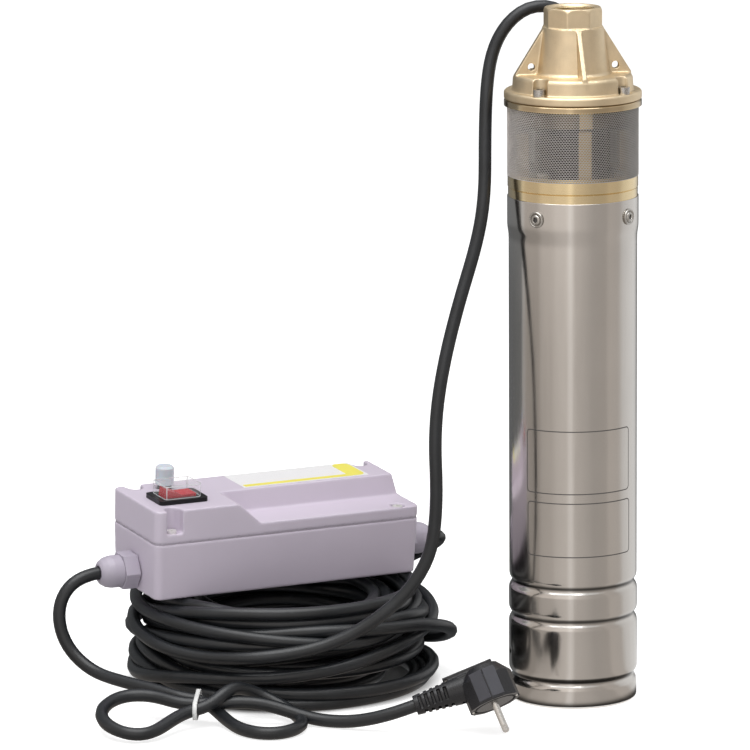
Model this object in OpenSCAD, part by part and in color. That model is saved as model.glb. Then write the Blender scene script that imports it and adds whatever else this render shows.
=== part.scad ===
// Borehole submersible pump with a brass peripheral-impeller head, a mesh strainer,
// a stainless motor, its cable coil and its control box with mains lead.
// Millimetres. The pump stands upright on the floor at the origin, its outlet facing +Z.

/* [Pump envelope] */
// overall height, floor to outlet rim
pump_h = 485; // [440:1:520]
// largest diameter, the two clamped flanges
flange_d = 95; // [92:0.5:100]
// plain motor casing diameter
casing_d = 88.8; // [86:0.2:90]
// casing sheet thickness
casing_wall = 1.5; // [1:0.1:2]
// growth of the casing radius where the motor flange enters
casing_swell = 1.1; // [0.6:0.1:1.4]

/* [Heights] */
// delivery head, joint to rim
head_rise = 63.4; // [60:0.2:67]
// suction lantern, joint to joint
lantern_h = 61; // [58:0.2:64]
// motor flange ring between casing and lantern
motor_ring_t = 6; // [5:0.2:8]
// swelled mouth of the casing
mouth_h = 23.6; // [20:0.2:28]
// first rolled groove
groove_1_z = 83.6; // [80:0.1:88]
// second rolled groove
groove_2_z = 60.5; // [57:0.1:64]
// third rolled groove
groove_3_z = 17.7; // [16:0.1:20]
// depth of the rolled grooves
groove_depth = 2; // [1:0.1:2.4]

/* [Delivery head] */
// bore radius of the one-inch outlet thread
outlet_r = 15.15; // [14:0.05:16]
// length of the outlet thread
outlet_len = 18; // [14:1:20]
// corner radius of the octagonal outlet
octagon_r = 20.6; // [20:0.1:22]
// height of the octagon
octagon_h = 13.5; // [10:0.5:16]
// clamped flange thickness
head_flange_t = 6.4; // [5:0.1:8]
// skirt radius
skirt_r = 41.25; // [40:0.25:42]
// skirt height above the flange
skirt_h = 11; // [8:0.5:14]
// rib thickness
rib_t = 5; // [4:0.1:6]
// rope hole radius
rope_hole_r = 2.5; // [2:0.1:3]
// rope hole distance from the axis
rope_hole_at = 29.5; // [28:0.5:31]
// pitch radius of the head screws
head_screw_at = 41.5; // [41:0.1:42]
// screw head radius
screw_head_r = 4.25; // [4:0.05:4.5]
// screw head height
screw_head_h = 5; // [4:0.1:5.5]
// screw shank radius
screw_r = 2.4; // [2:0.05:2.5]

/* [Impeller] */
// impeller radius
impeller_r = 26; // [25:0.1:26.5]
// impeller thickness
impeller_t = 9.6; // [8:0.1:10]
// number of vanes on each side
vanes = 36; // [24:1:40]
// vane thickness
vane_t = 1.6; // [1.2:0.1:2]
// gap round the running impeller
impeller_gap = 0.3; // [0.3:0.05:0.5]
// side channel outer radius
channel_r = 29.2; // [28:0.1:29.4]
// side channel depth in each face
channel_h = 3.8; // [3:0.1:4]
// arc of the side channel
channel_arc = 320; // [300:5:330]

/* [Strainer] */
// strainer outside radius
strainer_r = 45.4; // [45:0.1:46]
// strainer sheet thickness
strainer_t = 0.8; // [0.6:0.1:1]
// perforations in a row
strainer_cols = 32; // [16:4:40]
// rows of perforations
strainer_rows = 7; // [4:1:9]
// perforation radius
strainer_hole_r = 1.6; // [1:0.1:2]

/* [Motor] */
// clear length between the windings and the motor flange
winding_gap = 26; // [22:1:32]
// height of the stack's lower end
stack_z = 150; // [140:1:160]
// bore radius of the stator
stator_bore = 24.2; // [23:0.1:26]
// gap between stator and rotor
air_gap = 0.4; // [0.3:0.05:0.6]
// stator slots
slots = 24; // [18:6:36]
// shaft radius in the rotor
shaft_r = 10; // [9:0.5:11]

/* [Control box] */
// box length
box_l = 205; // [190:1:212]
// box width
box_w = 74; // [70:1:80]
// base height
base_h = 40; // [36:0.5:46]
// lid height at the front shoulder
shoulder_h = 8.5; // [7:0.5:10]
// lid height at the raised top
plateau_h = 23.5; // [20:0.5:26]
// box wall thickness
box_wall = 2.5; // [2:0.1:3]
// gasket thickness
gasket_t = 0.8; // [0.6:0.1:1.2]
// gland height above the box floor
gland_z = 14; // [13.5:0.5:20]

/* [Cable] */
// cable diameter
cable_d = 9; // [7:0.5:9]
// coil outside radius
coil_r = 111; // [105:1:111]
// coil inside radius
coil_in = 56; // [50:1:62]
// coil height, which carries the box
coil_h = 72; // [66:1:76]

/* [Hidden] */
$fn = 64;

cable_r = cable_d / 2;
slack = 0.3;
seat_gap = 0.1;
head_z = pump_h - head_rise;
lantern_z = head_z - lantern_h;
casing_top_z = lantern_z - motor_ring_t;
swell_z = casing_top_z - mouth_h;
casing_r = casing_d / 2;
casing_in = casing_r - casing_wall;
mouth_r = casing_r + casing_swell;
mouth_in = mouth_r - casing_wall;
flange_r = flange_d / 2;
lantern_r = mouth_r - 0.4;
ring_t = 8.4;
top_ring_t = 4.2;
strainer_in = strainer_r - strainer_t;
seat_r = strainer_in - slack;
strainer_lo = lantern_z + ring_t;
strainer_hi = head_z - top_ring_t;
skirt_lo = head_z + head_flange_t;
skirt_hi = skirt_lo + skirt_h;
screw_seat = skirt_lo - 0.4;
octagon_z = pump_h - octagon_h;
outlet_lo = pump_h - outlet_len;
cone_top = octagon_r + 0.4;
cone_low = 25.25;
rope_hole_z = skirt_hi + 5.4;
gland_turn = 67.5;
gland_at = 38;
gland_bore = cable_r + slack;
gland_seal_r = 6.2;
gland_nut_h = 7.5;
gland_nut_z = skirt_hi;
cavity_z = head_z + 10;
impeller_z = head_z - 0.4 - impeller_t;
chamber_z = impeller_z - impeller_gap;
chamber_r = impeller_r + impeller_gap;
channel_in = 21.8;
port_at = 24.8;
port_r = 3;
body_low = chamber_z - channel_h - 3.4;
casing_screw_z = casing_top_z - 11.6;
hub_r = 26;
hub_bore = 22;
hub_top = strainer_lo + 30;
spigot_lo = swell_z - 13;
end_turn_h = 22;
stack_len = spigot_lo - winding_gap - end_turn_h - stack_z;
upper_z = spigot_lo + 2;
upper_t = 12;
lower_z = groove_1_z - 1.6;
lower_t = 11;
seal_z = casing_top_z - 6.6;
seal_seat_t = 5;
shaft_top = head_z + 5.6;
race_gap = 0.05;
o_ring_r = 31.1;

// control box placement and its parts
box_turn = 16.5;
box_tilt = 4;
box_at = [-201.8, 98.3, coil_h + 0.05 + box_w / 2 * sin(box_tilt)];
lid_z = base_h + gasket_t;
lid_top = lid_z + plateau_h;
lid_mid = lid_z + shoulder_h;
plateau_end = -box_l / 2 + 63.5;
plateau_foot = plateau_end + 17;
ridge_front = box_w / 2 - 39;
ridge_foot = ridge_front - 4;
ridge_end = box_l / 2 - 5;
ridge_slope = 3;
corner_r = 5;
screw_x = box_l / 2 - 14.5;
screw_y = box_w / 2 - 6.5;
boss_r = 8;
slot_w = 12;
lid_seat = lid_z + 5.5;
switch_at = [-box_l / 2 + 28.5, 28.5 - box_w / 2];
cap_r = box_w / 4 - 0.5;
block_w = box_w / 4 - 0.5;
frame_l = 37;
frame_w = 27;
frame_t = 3;
rocker_l = 22;
rocker_w = 14;
rocker_rest = 10;
pivot_z = lid_top + 1.4;
pivot_r = 1.2;
pivot_gap = 0.08;
boot_l = 28;
boot_w = 23;
boot_h = 9.5;
reset_at = [-box_l / 2 + 33, box_w / 2 - 15];
breaker_l = 20;
breaker_w = 17;
post_r = 5;
post_h = 10;
button_r = 6.5;
button_top = 16;
button_travel = 2.5;
gland_hex = 24;
gland_thread_r = 9.8;
gland_hex_l = 11;
dome_l = 16;
gland_reach = box_l / 2 + gland_hex_l + dome_l;
gland_drop = gland_z * sin(box_tilt);

// coil, plug and cord routes
coil_at = [-190, 90];
plug_at = [-79.2, -93.5, 32.3];
plug_turn = [-26.3, -21.9, -5.6];
plug_r = 19;
plug_face = -14;
plug_h = 27;
pin_r = 2.4;
pin_len = 19;
pin_gap = 19;
neck_z = 3;
neck_tilt = 4;
neck_l = 51;
neck_r = 11.6;
relief_r = 6.8;
tie_at = [-271, -35, 14.4];
// the cords are drawn for the stock sizes, and each end follows the gland that it leaves
pump_gland_end = [gland_at * cos(gland_turn), gland_at * sin(gland_turn), gland_nut_z + gland_nut_h + 0.4];
drop_shape = [[14.54, 35.11, 446.9], [14, 35, 456], [9, 34.5, 469], [-2, 34.5, 478.6],
  [-16, 34, 482.4], [-29, 33.7, 478.8], [-40.5, 33.5, 468.6], [-48, 32.8, 456], [-52.4, 29.2, 443.3],
  [-55.6, 24, 426.9], [-57.8, 17.6, 407.6], [-59.6, 10.5, 386.4], [-61.2, 3.5, 363.3],
  [-64.7, -2.8, 341.2], [-70.9, -7, 317.9], [-82.2, -14.4, 286.4], [-93.2, -24, 253.3],
  [-101.2, -32.5, 220.5], [-104.2, -36.7, 191], [-104, -39.5, 164.2], [-104.9, -39.9, 138.2],
  [-109.1, -39.7, 113.6], [-122.4, -37.3, 89.8], [-141, -34, 71.8], [-161.5, -30.4, 58],
  [-186, -26, 48], [-210, -24.4, 44], [-233.6, -17.6, 41], [-254, 0, 38]];
tail_shape = [[-77.36, 134.14, 88.6], [-69.3, 139.6, 87.6], [-65.6, 148.6, 84.4], [-67, 158.4, 79.4],
  [-71.6, 168, 73.4], [-79.4, 177, 66.8], [-91, 184.4, 60], [-106, 189, 53.6], [-124, 191.4, 48.4],
  [-144, 190.6, 44.6]];
lead_shape = [[-325.69, 60.58, 88.53], [-337.6, 57.1, 87], [-348.6, 54.2, 80], [-354.6, 52.4, 67.5],
  [-354, 50, 51], [-346.8, 45.4, 36], [-333, 34, 24.6], [-316, 14, 21.4], [-294, -9, 19.2],
  [-278, -24.8, 16.4], [-265, -27.4, 15], [-257, -36, 8.6], [-251, -54, 5], [-245, -75, 4.8],
  [-232, -89, 4.8], [-216, -86, 4.8], [-205, -72, 5], [-202, -52, 5], [-210, -33, 9.4],
  [-229, -23.6, 18.4], [-246, -34, 25], [-257, -42.6, 20], [-265, -44, 14.4], [-278, -45.2, 12.4],
  [-291, -57, 10], [-304, -72, 7], [-318, -80, 5.8], [-333, -68, 7.8], [-339, -47, 11.4],
  [-333, -26, 15], [-318, -14.4, 18], [-300, -18, 18], [-287, -29.6, 16], [-278, -34.8, 14.8],
  [-265, -35.4, 14.6], [-250, -38, 15.4], [-230, -41.6, 15], [-212, -46.4, 10.4], [-196, -54, 5.8],
  [-181, -63, 4.8], [-166.4, -71.8, 6.4], [-153, -78.8, 10], [-141.2, -83.4, 14],
  [-129.05, -85.62, 18.43]];
function box_gland_end(side) = box_at
  + [side * gland_reach * cos(box_turn) + gland_drop * sin(box_turn),
     side * gland_reach * sin(box_turn) - gland_drop * cos(box_turn), gland_z * cos(box_tilt)];
function eased(p, to, n) = [for (i = [0:len(p) - 1]) p[i] + (to - p[0]) * max(0, 1 - i / n)];
drop_route = eased(drop_shape, pump_gland_end, 20);
tail_route = eased(tail_shape, box_gland_end(1), 5);
lead_route = eased(lead_shape, box_gland_end(-1), 6);

// places children on the box
module on_box() { translate(box_at) rotate([box_tilt, 0, box_turn]) children(); }
// places children at the pump's cable gland
module at_gland() { rotate([0, 0, gland_turn]) translate([gland_at, 0, 0]) children(); }
// repeats children on the four diagonals
module diagonals() { for (k = [0:3]) rotate([0, 0, 45 + 90 * k]) children(); }
// places children in the plug's own frame, pins along its -Z, cord along its -X
module on_plug() { translate(plug_at) rotate(plug_turn) children(); }

// points of a rounded rectangle
function rounded(l, w, r, n = 5) = [for (q = [0:3]) for (k = [0:n])
  let (a = 90 * q + 90 * k / n,
       cx = (q == 0 || q == 3 ? 1 : -1) * (l / 2 - r),
       cy = (q < 2 ? 1 : -1) * (w / 2 - r))
  [cx + r * cos(a), cy + r * sin(a)]];
module slab(l, w, r, lo, hi) { translate([0, 0, lo]) linear_extrude(hi - lo) polygon(rounded(l, w, r)); }
module ring(r1, r0, lo, hi) {
  difference() {
    translate([0, 0, lo]) cylinder(r = r1, h = hi - lo);
    translate([0, 0, lo - 1]) cylinder(r = r0, h = hi - lo + 2);
  }
}
module torus(at, r, z) { translate([0, 0, z]) rotate_extrude() translate([at, 0]) circle(r = r, $fn = 24); }

// a round tube swept along a route, one ring at each point
function unit(v) = v / norm(v);
function heading(p, i) = unit(p[min(i + 1, len(p) - 1)] - p[max(i - 1, 0)]);
function square_to(v, t) = unit(v - (v * t) * t);
function sides(p) = [for (i = 0, n = square_to([0.1, 1, 0.2], heading(p, 0)); i < len(p);
  i = i + 1, n = i < len(p) ? square_to(n, heading(p, i)) : n) n];
module tube(p, r, n = 10) {
  s = sides(p);
  last = len(p) - 1;
  pts = [for (i = [0:last]) for (k = [0:n - 1])
    let (a = 360 * k / n, t = heading(p, i)) p[i] + r * (cos(a) * s[i] + sin(a) * cross(t, s[i]))];
  walls = [for (i = [0:last - 1]) for (k = [0:n - 1])
    let (a = i * n + k, b = i * n + (k + 1) % n) each [[a, a + n, b + n], [a, b + n, b]]];
  caps = [for (k = [1:n - 2]) each [[0, k, k + 1], [last * n, last * n + k + 1, last * n + k]]];
  polyhedron(points = pts, faces = concat(walls, caps));
}

module rib() {
  rotate([90, 0, 0]) translate([0, 0, -rib_t / 2]) linear_extrude(rib_t)
    polygon([[16, skirt_hi - 3], [skirt_r - 0.6, skirt_hi - 3], [skirt_r - 0.6, skirt_hi + 0.6],
      [octagon_r + 0.6, octagon_z - 1], [16, octagon_z - 1]]);
}
module delivery_head() {
  color([0.72, 0.60, 0.36]) difference() {
    union() {
      rotate_extrude() polygon([[0, head_z], [flange_r - 1.4, head_z], [flange_r - 1.4, head_z + 0.5],
        [flange_r, head_z + 0.5], [flange_r, skirt_lo - 1.2], [flange_r - 1.2, skirt_lo],
        [skirt_r + 0.6, skirt_lo], [skirt_r, skirt_hi - 2.4], [skirt_r - 0.8, skirt_hi - 0.8],
        [skirt_r - 2.6, skirt_hi], [cone_low + 1.6, skirt_hi], [cone_low, skirt_hi + 1.8],
        [cone_top, octagon_z], [0, octagon_z]]);
      intersection() {
        translate([0, 0, octagon_z]) rotate([0, 0, 22.5]) cylinder(r = octagon_r, h = octagon_h, $fn = 8);
        translate([0, 0, octagon_z]) cylinder(r1 = octagon_r + 6.6, r2 = octagon_r - 1.4, h = octagon_h);
      }
      for (k = [0:3]) rotate([0, 0, 90 * k]) rib();
      at_gland() translate([0, 0, skirt_lo - 1]) cylinder(r = 9.2, h = skirt_h + 1);
    }
    rotate_extrude() polygon([[0, cavity_z], [29, cavity_z], [29, cavity_z + 1.4], [20.5, cavity_z + 9.4],
      [outlet_r + 1.6, outlet_lo - 3], [outlet_r + 1.6, outlet_lo], [0, outlet_lo]]);
    translate([0, 0, outlet_lo - 0.01]) cylinder(r = outlet_r, h = outlet_len + 1);
    translate([0, 0, pump_h - 1.6]) cylinder(r1 = outlet_r, r2 = outlet_r + 1.8, h = 1.8);
    translate([0, 0, head_z - 1]) cylinder(r = 10.6, h = 7.8);
    rotate([0, 0, -70]) rotate_extrude(angle = channel_arc)
      translate([channel_in, head_z - 1]) square([channel_r - channel_in, channel_h + 1]);
    rotate([0, 0, -70 + channel_arc - 10]) translate([port_at, 0, head_z]) cylinder(r = port_r, h = 11);
    diagonals() translate([head_screw_at, 0, 0]) {
      translate([0, 0, screw_seat]) cylinder(r = 5.75, h = skirt_h + 6);
      translate([0, 0, head_z - 1]) cylinder(r = screw_r + 0.4, h = head_flange_t + 2);
    }
    at_gland() {
      translate([0, 0, head_z - 1]) cylinder(r = gland_bore, h = skirt_h + head_flange_t + 2);
      translate([0, 0, skirt_hi - 8]) cylinder(r = gland_seal_r, h = 9);
    }
    for (side = [-1, 1]) translate([side * rope_hole_at, 0, rope_hole_z]) rotate([90, 0, 0])
      cylinder(r = rope_hole_r, h = rib_t + 2, center = true);
    ring(o_ring_r + 1.2, o_ring_r - 1.2, head_z - 1, head_z + 1.4);
  }
}
module head_o_ring() { color([0.08, 0.08, 0.08]) ring(o_ring_r + 1, o_ring_r - 1, head_z, head_z + 1.4); }
module cap_screw(z, shank) {
  difference() {
    union() {
      translate([0, 0, z]) cylinder(r = screw_head_r, h = screw_head_h);
      translate([0, 0, z - shank]) cylinder(r = screw_r, h = shank + 1);
    }
    translate([0, 0, z + screw_head_h - 2.6]) cylinder(r = 2.3, h = 3, $fn = 6);
  }
}
module head_screws() {
  color([0.62, 0.62, 0.62]) diagonals() translate([head_screw_at, 0, 0]) cap_screw(screw_seat, 15.6);
}

module suction_lantern() {
  color([0.70, 0.58, 0.34]) difference() {
    union() {
      rotate_extrude() polygon([[0, body_low], [seat_r - 2, body_low], [seat_r, body_low + 2],
        [seat_r, strainer_hi], [flange_r, strainer_hi], [flange_r, head_z - 0.8], [flange_r - 0.8, head_z],
        [0, head_z]]);
      rotate_extrude() polygon([[hub_r + 0.3, lantern_z], [lantern_r - 0.7, lantern_z],
        [lantern_r, lantern_z + 0.7], [lantern_r, strainer_lo],
        [seat_r, strainer_lo], [seat_r, strainer_lo + 2.6], [hub_r + 0.3, strainer_lo + 2.6]]);
      for (k = [0:3]) rotate([0, 0, 90 * k]) translate([32, -4.5, strainer_lo])
        cube([9, 9, body_low - strainer_lo + 2]);
    }
    translate([0, 0, chamber_z]) cylinder(r = chamber_r, h = 20);
    rotate([0, 0, -70]) rotate_extrude(angle = channel_arc)
      translate([channel_in, chamber_z - channel_h]) square([channel_r - channel_in, 20]);
    rotate([0, 0, -60]) translate([port_at, 0, body_low - 1]) cylinder(r = port_r, h = 8);
    translate([0, 0, body_low - 1]) cylinder(r = 8.4, h = 20);
    diagonals() {
      translate([head_screw_at, 0, skirt_lo - 17]) cylinder(r = screw_r + 0.05, h = 30);
      translate([37, 0, lantern_z - 1]) cylinder(r = screw_r + 0.4, h = 16);
      translate([37, 0, strainer_lo]) cylinder(r = 5, h = 4);
    }
    at_gland() translate([0, 0, lantern_z - 1]) cylinder(r = gland_bore, h = lantern_h + 2);
  }
}
module lantern_screws() {
  color([0.62, 0.62, 0.62]) diagonals() translate([37, 0, 0]) cap_screw(strainer_lo, 17);
}
module strainer() {
  row = (strainer_hi - strainer_lo - 8) / (strainer_rows - 1);
  color([0.74, 0.72, 0.68]) difference() {
    ring(strainer_r, strainer_in, strainer_lo, strainer_hi);
    for (i = [0:strainer_rows - 1]) for (k = [0:strainer_cols - 1])
      rotate([0, 0, 360 * (k + 0.5 * (i % 2)) / strainer_cols])
        translate([strainer_in - 2, 0, strainer_lo + 4 + row * i]) rotate([0, 90, 0])
          cylinder(r = strainer_hole_r, h = 5);
  }
}

module motor_flange() {
  color([0.70, 0.58, 0.34]) difference() {
    rotate_extrude() polygon([[9.6, spigot_lo], [casing_in - slack, spigot_lo], [casing_in - slack, swell_z],
      [mouth_in, swell_z + 2.6], [mouth_in, casing_top_z], [lantern_r - 0.3, casing_top_z],
      [lantern_r - 0.3, lantern_z - 0.4], [lantern_r - 0.7, lantern_z], [hub_r, lantern_z],
      [hub_r, hub_top - 1], [hub_r - 1, hub_top], [9.6, hub_top]]);
    translate([0, 0, spigot_lo - 1]) cylinder(r = 20, h = 1 + upper_z + upper_t - spigot_lo);
    translate([0, 0, seal_z]) cylinder(r = 15, h = hub_top - seal_z + 1);
    translate([0, 0, lantern_z + 2]) cylinder(r = hub_bore, h = hub_top - lantern_z);
    ring(casing_in + 2, casing_in - 2.9, swell_z - 7.8, swell_z - 4.2);
    diagonals() {
      translate([37, 0, strainer_lo - 18]) cylinder(r = screw_r + 0.05, h = 30);
      translate([33, 0, casing_screw_z]) rotate([0, 90, 0]) cylinder(r = screw_r + 0.05, h = 30);
    }
    at_gland() {
      translate([0, 0, casing_top_z - 20]) cylinder(r = gland_bore, h = 40);
      translate([0, 0, casing_top_z + 0.4]) cylinder(r = gland_seal_r, h = 10);
      translate([-5, 0, spigot_lo - 1]) cylinder(r = 5, h = casing_top_z - 18 - spigot_lo);
    }
  }
}
module flange_o_ring() { color([0.08, 0.08, 0.08]) torus(casing_in - 1.4, 1.4, swell_z - 6); }
module seal_seat() { color([0.88, 0.86, 0.80]) ring(15, 9.2, seal_z, seal_z + seal_seat_t); }
module cable_foot_seal() {
  color([0.08, 0.08, 0.08]) at_gland()
    ring(gland_seal_r - seat_gap, cable_r + seat_gap, casing_top_z + 0.4, lantern_z);
}
module lead_in_cable() {
  color([0.08, 0.08, 0.08]) at_gland() translate([0, 0, casing_top_z - 19])
    cylinder(r = cable_r, h = gland_nut_z + gland_nut_h - casing_top_z + 19);
}
module cable_gland_seal() {
  color([0.08, 0.08, 0.08]) at_gland()
    ring(gland_seal_r - seat_gap, cable_r + seat_gap, skirt_hi - 8, skirt_hi);
}
module cable_gland_nut() {
  color([0.72, 0.60, 0.36]) at_gland() difference() {
    translate([0, 0, gland_nut_z]) intersection() {
      cylinder(r = 9.2, h = gland_nut_h, $fn = 6);
      cylinder(r1 = 12, r2 = 8.2, h = gland_nut_h);
    }
    translate([0, 0, gland_nut_z - 1]) cylinder(r = gland_bore, h = gland_nut_h + 2);
  }
}
module casing_screws() {
  color([0.62, 0.62, 0.62]) diagonals() translate([0, 0, casing_screw_z]) rotate([0, 90, 0]) difference() {
    union() {
      translate([0, 0, 35]) cylinder(r = screw_r, h = mouth_r - 34.6);
      translate([0, 0, mouth_r + 0.03]) cylinder(r = 4.9, h = 0.5);
      translate([0, 0, mouth_r + 0.03]) cylinder(r1 = 3.7, r2 = 2.7, h = 1.9);
    }
    translate([0, 0, mouth_r + 0.6]) cylinder(r = 1.7, h = 3, $fn = 6);
  }
}

// outline of a rolled groove on a wall of the given radius, from above to below
function groove(r, z) = [[r, z + 5], [r - 0.25 * groove_depth, z + 3.6], [r - 0.8 * groove_depth, z + 1.6],
  [r - groove_depth, z], [r - 0.8 * groove_depth, z - 1.6], [r - 0.25 * groove_depth, z - 3.6], [r, z - 5]];
function back(list) = [for (i = [len(list) - 1:-1:0]) list[i]];
module motor_casing() {
  ring_r = casing_r + 0.3;
  wall = concat([[mouth_r, casing_top_z], [mouth_r, swell_z + 2], [mouth_r - 0.6 * casing_swell, swell_z],
    [casing_r, swell_z - 2.4]], groove(casing_r, groove_1_z), groove(ring_r, groove_2_z),
    groove(ring_r - 0.4, groove_3_z), [[ring_r - 0.6, 5], [ring_r - 1, 2], [ring_r - 2, 0]]);
  inside = concat([[mouth_in, casing_top_z], [mouth_in, swell_z + 2.6], [casing_in, swell_z - 2]],
    groove(casing_in, groove_1_z), groove(casing_in, groove_2_z), groove(casing_in, groove_3_z),
    [[casing_in - 1, 10], [casing_in - 1, 0]]);
  color([0.70, 0.69, 0.66]) difference() {
    rotate_extrude() polygon(concat(wall, back(inside)));
    diagonals() translate([mouth_in - 3, 0, casing_screw_z]) rotate([0, 90, 0])
      cylinder(r = screw_r + 0.3, h = 8);
    for (side = [0, 180]) rotate([0, 0, side]) translate([casing_r + 2.6, 0, 34]) sphere(r = 3.4);
  }
}
module slot_bar(gap, lo, hi) {
  for (k = [0:slots - 1]) rotate([0, 0, 360 * (k + 0.5) / slots])
    translate([stator_bore + 1.6 + gap, -1.9 + gap, lo]) cube([10.4 - 2 * gap, 3.8 - 2 * gap, hi - lo]);
}
module stator_core() {
  color([0.42, 0.42, 0.44]) difference() {
    ring(casing_in, stator_bore, stack_z, stack_z + stack_len);
    slot_bar(0, stack_z - 1, stack_z + stack_len + 1);
  }
}
module end_turn(z, up) {
  h = end_turn_h * up;
  translate([0, 0, z]) rotate_extrude()
    polygon([[26.4, 0], [37, 0], [36, 0.77 * h], [33, h], [29, h], [27, 0.77 * h]]);
}
module stator_windings() {
  color([0.66, 0.32, 0.12]) union() {
    slot_bar(0.25, stack_z - 1, stack_z + stack_len + 1);
    end_turn(stack_z, -1);
    end_turn(stack_z + stack_len, 1);
  }
}
module race_outer(r1, r0, at, ball, z, t) {
  color([0.60, 0.61, 0.63]) difference() {
    ring(r1, r0, z, z + t);
    torus(at, ball + race_gap, z + t / 2);
  }
}
module balls(at, ball, z, n) {
  color([0.75, 0.75, 0.77]) for (k = [0:n - 1]) rotate([0, 0, 360 * k / n])
    translate([at, 0, z]) sphere(r = ball);
}
module upper_bearing_outer() { race_outer(20, 16.4, 14.25, 3.3, upper_z, upper_t); }
module upper_bearing_inner() { race_outer(12.1, 8.5, 14.25, 3.3, upper_z, upper_t); }
module upper_bearing_balls() { balls(14.25, 3.3, upper_z + upper_t / 2, 8); }
module lower_bearing_outer() { race_outer(17.5, 14.4, 12.5, 2.9, lower_z, lower_t); }
module lower_bearing_inner() { race_outer(10.6, 7.5, 12.5, 2.9, lower_z, lower_t); }
module lower_bearing_balls() { balls(12.5, 2.9, lower_z + lower_t / 2, 8); }
module bearing_bracket() {
  low = groove_2_z - 5;
  mid = (groove_1_z + groove_2_z) / 2;
  rim = casing_in - slack;
  neck = casing_in - groove_depth - 0.5;
  color([0.60, 0.61, 0.62]) difference() {
    rotate_extrude() polygon([[0, low], [neck, low], [neck, groove_2_z + 5.4], [rim, groove_2_z + 5.4],
      [rim, groove_1_z - 5.4], [neck, groove_1_z - 5.4], [neck, groove_1_z + 2], [24, lower_z + lower_t + 1],
      [0, lower_z + lower_t + 1]]);
    translate([0, 0, lower_z]) cylinder(r = 17.5, h = 30);
    translate([0, 0, lower_z - 12]) cylinder(r = 11.5, h = 30);
    ring(casing_in + 2, casing_in - 2.9, mid - 1.8, mid + 1.8);
  }
}
module bracket_o_ring() {
  color([0.08, 0.08, 0.08]) torus(casing_in - 1.4, 1.4, (groove_1_z + groove_2_z) / 2);
}
module pressure_diaphragm() {
  z = groove_3_z + 6;
  r = casing_in - 0.2;
  color([0.10, 0.10, 0.10]) rotate_extrude() polygon([[0, z + 8], [20, z + 8], [26, z], [32, z + 8],
    [r - 4, z + 8], [r - 2, z], [r, z], [r, z + 12], [r - 2, z + 12], [r - 3, z + 10.4], [32, z + 10.4],
    [26, z + 3], [20, z + 10.4], [0, z + 10.4]]);
}
module base_cover() {
  color([0.66, 0.65, 0.62]) difference() {
    cylinder(r = casing_in - 1, h = 9);
    translate([0, 0, 3]) cylinder(r = 36, h = 9);
    for (k = [0:2]) rotate([0, 0, 30 + 120 * k]) translate([24, 0, -1]) cylinder(r = 2, h = 9);
  }
}

module motor_shaft() {
  key = impeller_z + 1;
  color([0.66, 0.67, 0.68]) difference() {
    rotate_extrude() polygon([[0, lower_z - 4], [6.9, lower_z - 4], [7.5, lower_z - 3],
      [7.5, lower_z + lower_t], [shaft_r, lower_z + lower_t], [shaft_r, upper_z], [8.5, upper_z],
      [8.5, upper_z + upper_t + 6],
      [8, upper_z + upper_t + 6], [8, impeller_z], [7, impeller_z], [7, impeller_z + impeller_t - 0.4],
      [5, impeller_z + impeller_t - 0.4], [5, shaft_top - 0.8], [4.2, shaft_top], [0, shaft_top]]);
    translate([4.5, -2, key]) cube([6, 4, 7]);
  }
}
module rotor_core() {
  r = stator_bore - air_gap;
  color([0.50, 0.50, 0.52]) difference() {
    union() {
      translate([0, 0, stack_z + 2]) cylinder(r = r, h = stack_len - 4);
      translate([0, 0, stack_z - 5]) cylinder(r = r - 1.6, h = stack_len + 10);
    }
    translate([0, 0, stack_z - 6]) cylinder(r = shaft_r, h = stack_len + 12);
  }
}
module impeller() {
  web = 2.4;
  side = (impeller_t - web) / 2;
  color([0.74, 0.60, 0.34]) difference() {
    union() {
      translate([0, 0, impeller_z + side]) cylinder(r = impeller_r, h = web);
      translate([0, 0, impeller_z]) cylinder(r = channel_in - 0.6, h = impeller_t);
      for (k = [0:vanes - 1]) rotate([0, 0, 360 * k / vanes])
        translate([channel_in - 2, -vane_t / 2, impeller_z])
          cube([impeller_r - channel_in + 1.7, vane_t, impeller_t]);
    }
    translate([0, 0, impeller_z - 1]) cylinder(r = 7, h = impeller_t + 2);
    translate([0, -2, impeller_z - 1]) cube([9, 4, impeller_t + 2]);
    for (k = [0:2]) rotate([0, 0, 60 + 120 * k]) translate([15, 0, impeller_z - 1])
      cylinder(r = 2, h = impeller_t + 2);
  }
}
module impeller_key() { color([0.66, 0.67, 0.68]) translate([4.5, -2, impeller_z + 1]) cube([4.5, 4, 7]); }
module impeller_nut() {
  color([0.66, 0.67, 0.68]) difference() {
    translate([0, 0, impeller_z + impeller_t]) cylinder(r = 9.6, h = 4.6, $fn = 6);
    translate([0, 0, impeller_z + impeller_t - 1]) cylinder(r = 5, h = 7);
  }
}
module seal_head() {
  color([0.16, 0.16, 0.17]) rotate_extrude() polygon([[8, seal_z + seal_seat_t], [12.6, seal_z + seal_seat_t],
    [12.6, seal_z + seal_seat_t + 4], [13.6, seal_z + seal_seat_t + 4], [13.6, seal_z + seal_seat_t + 13],
    [12, seal_z + seal_seat_t + 15], [8, seal_z + seal_seat_t + 15]]);
}

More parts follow.
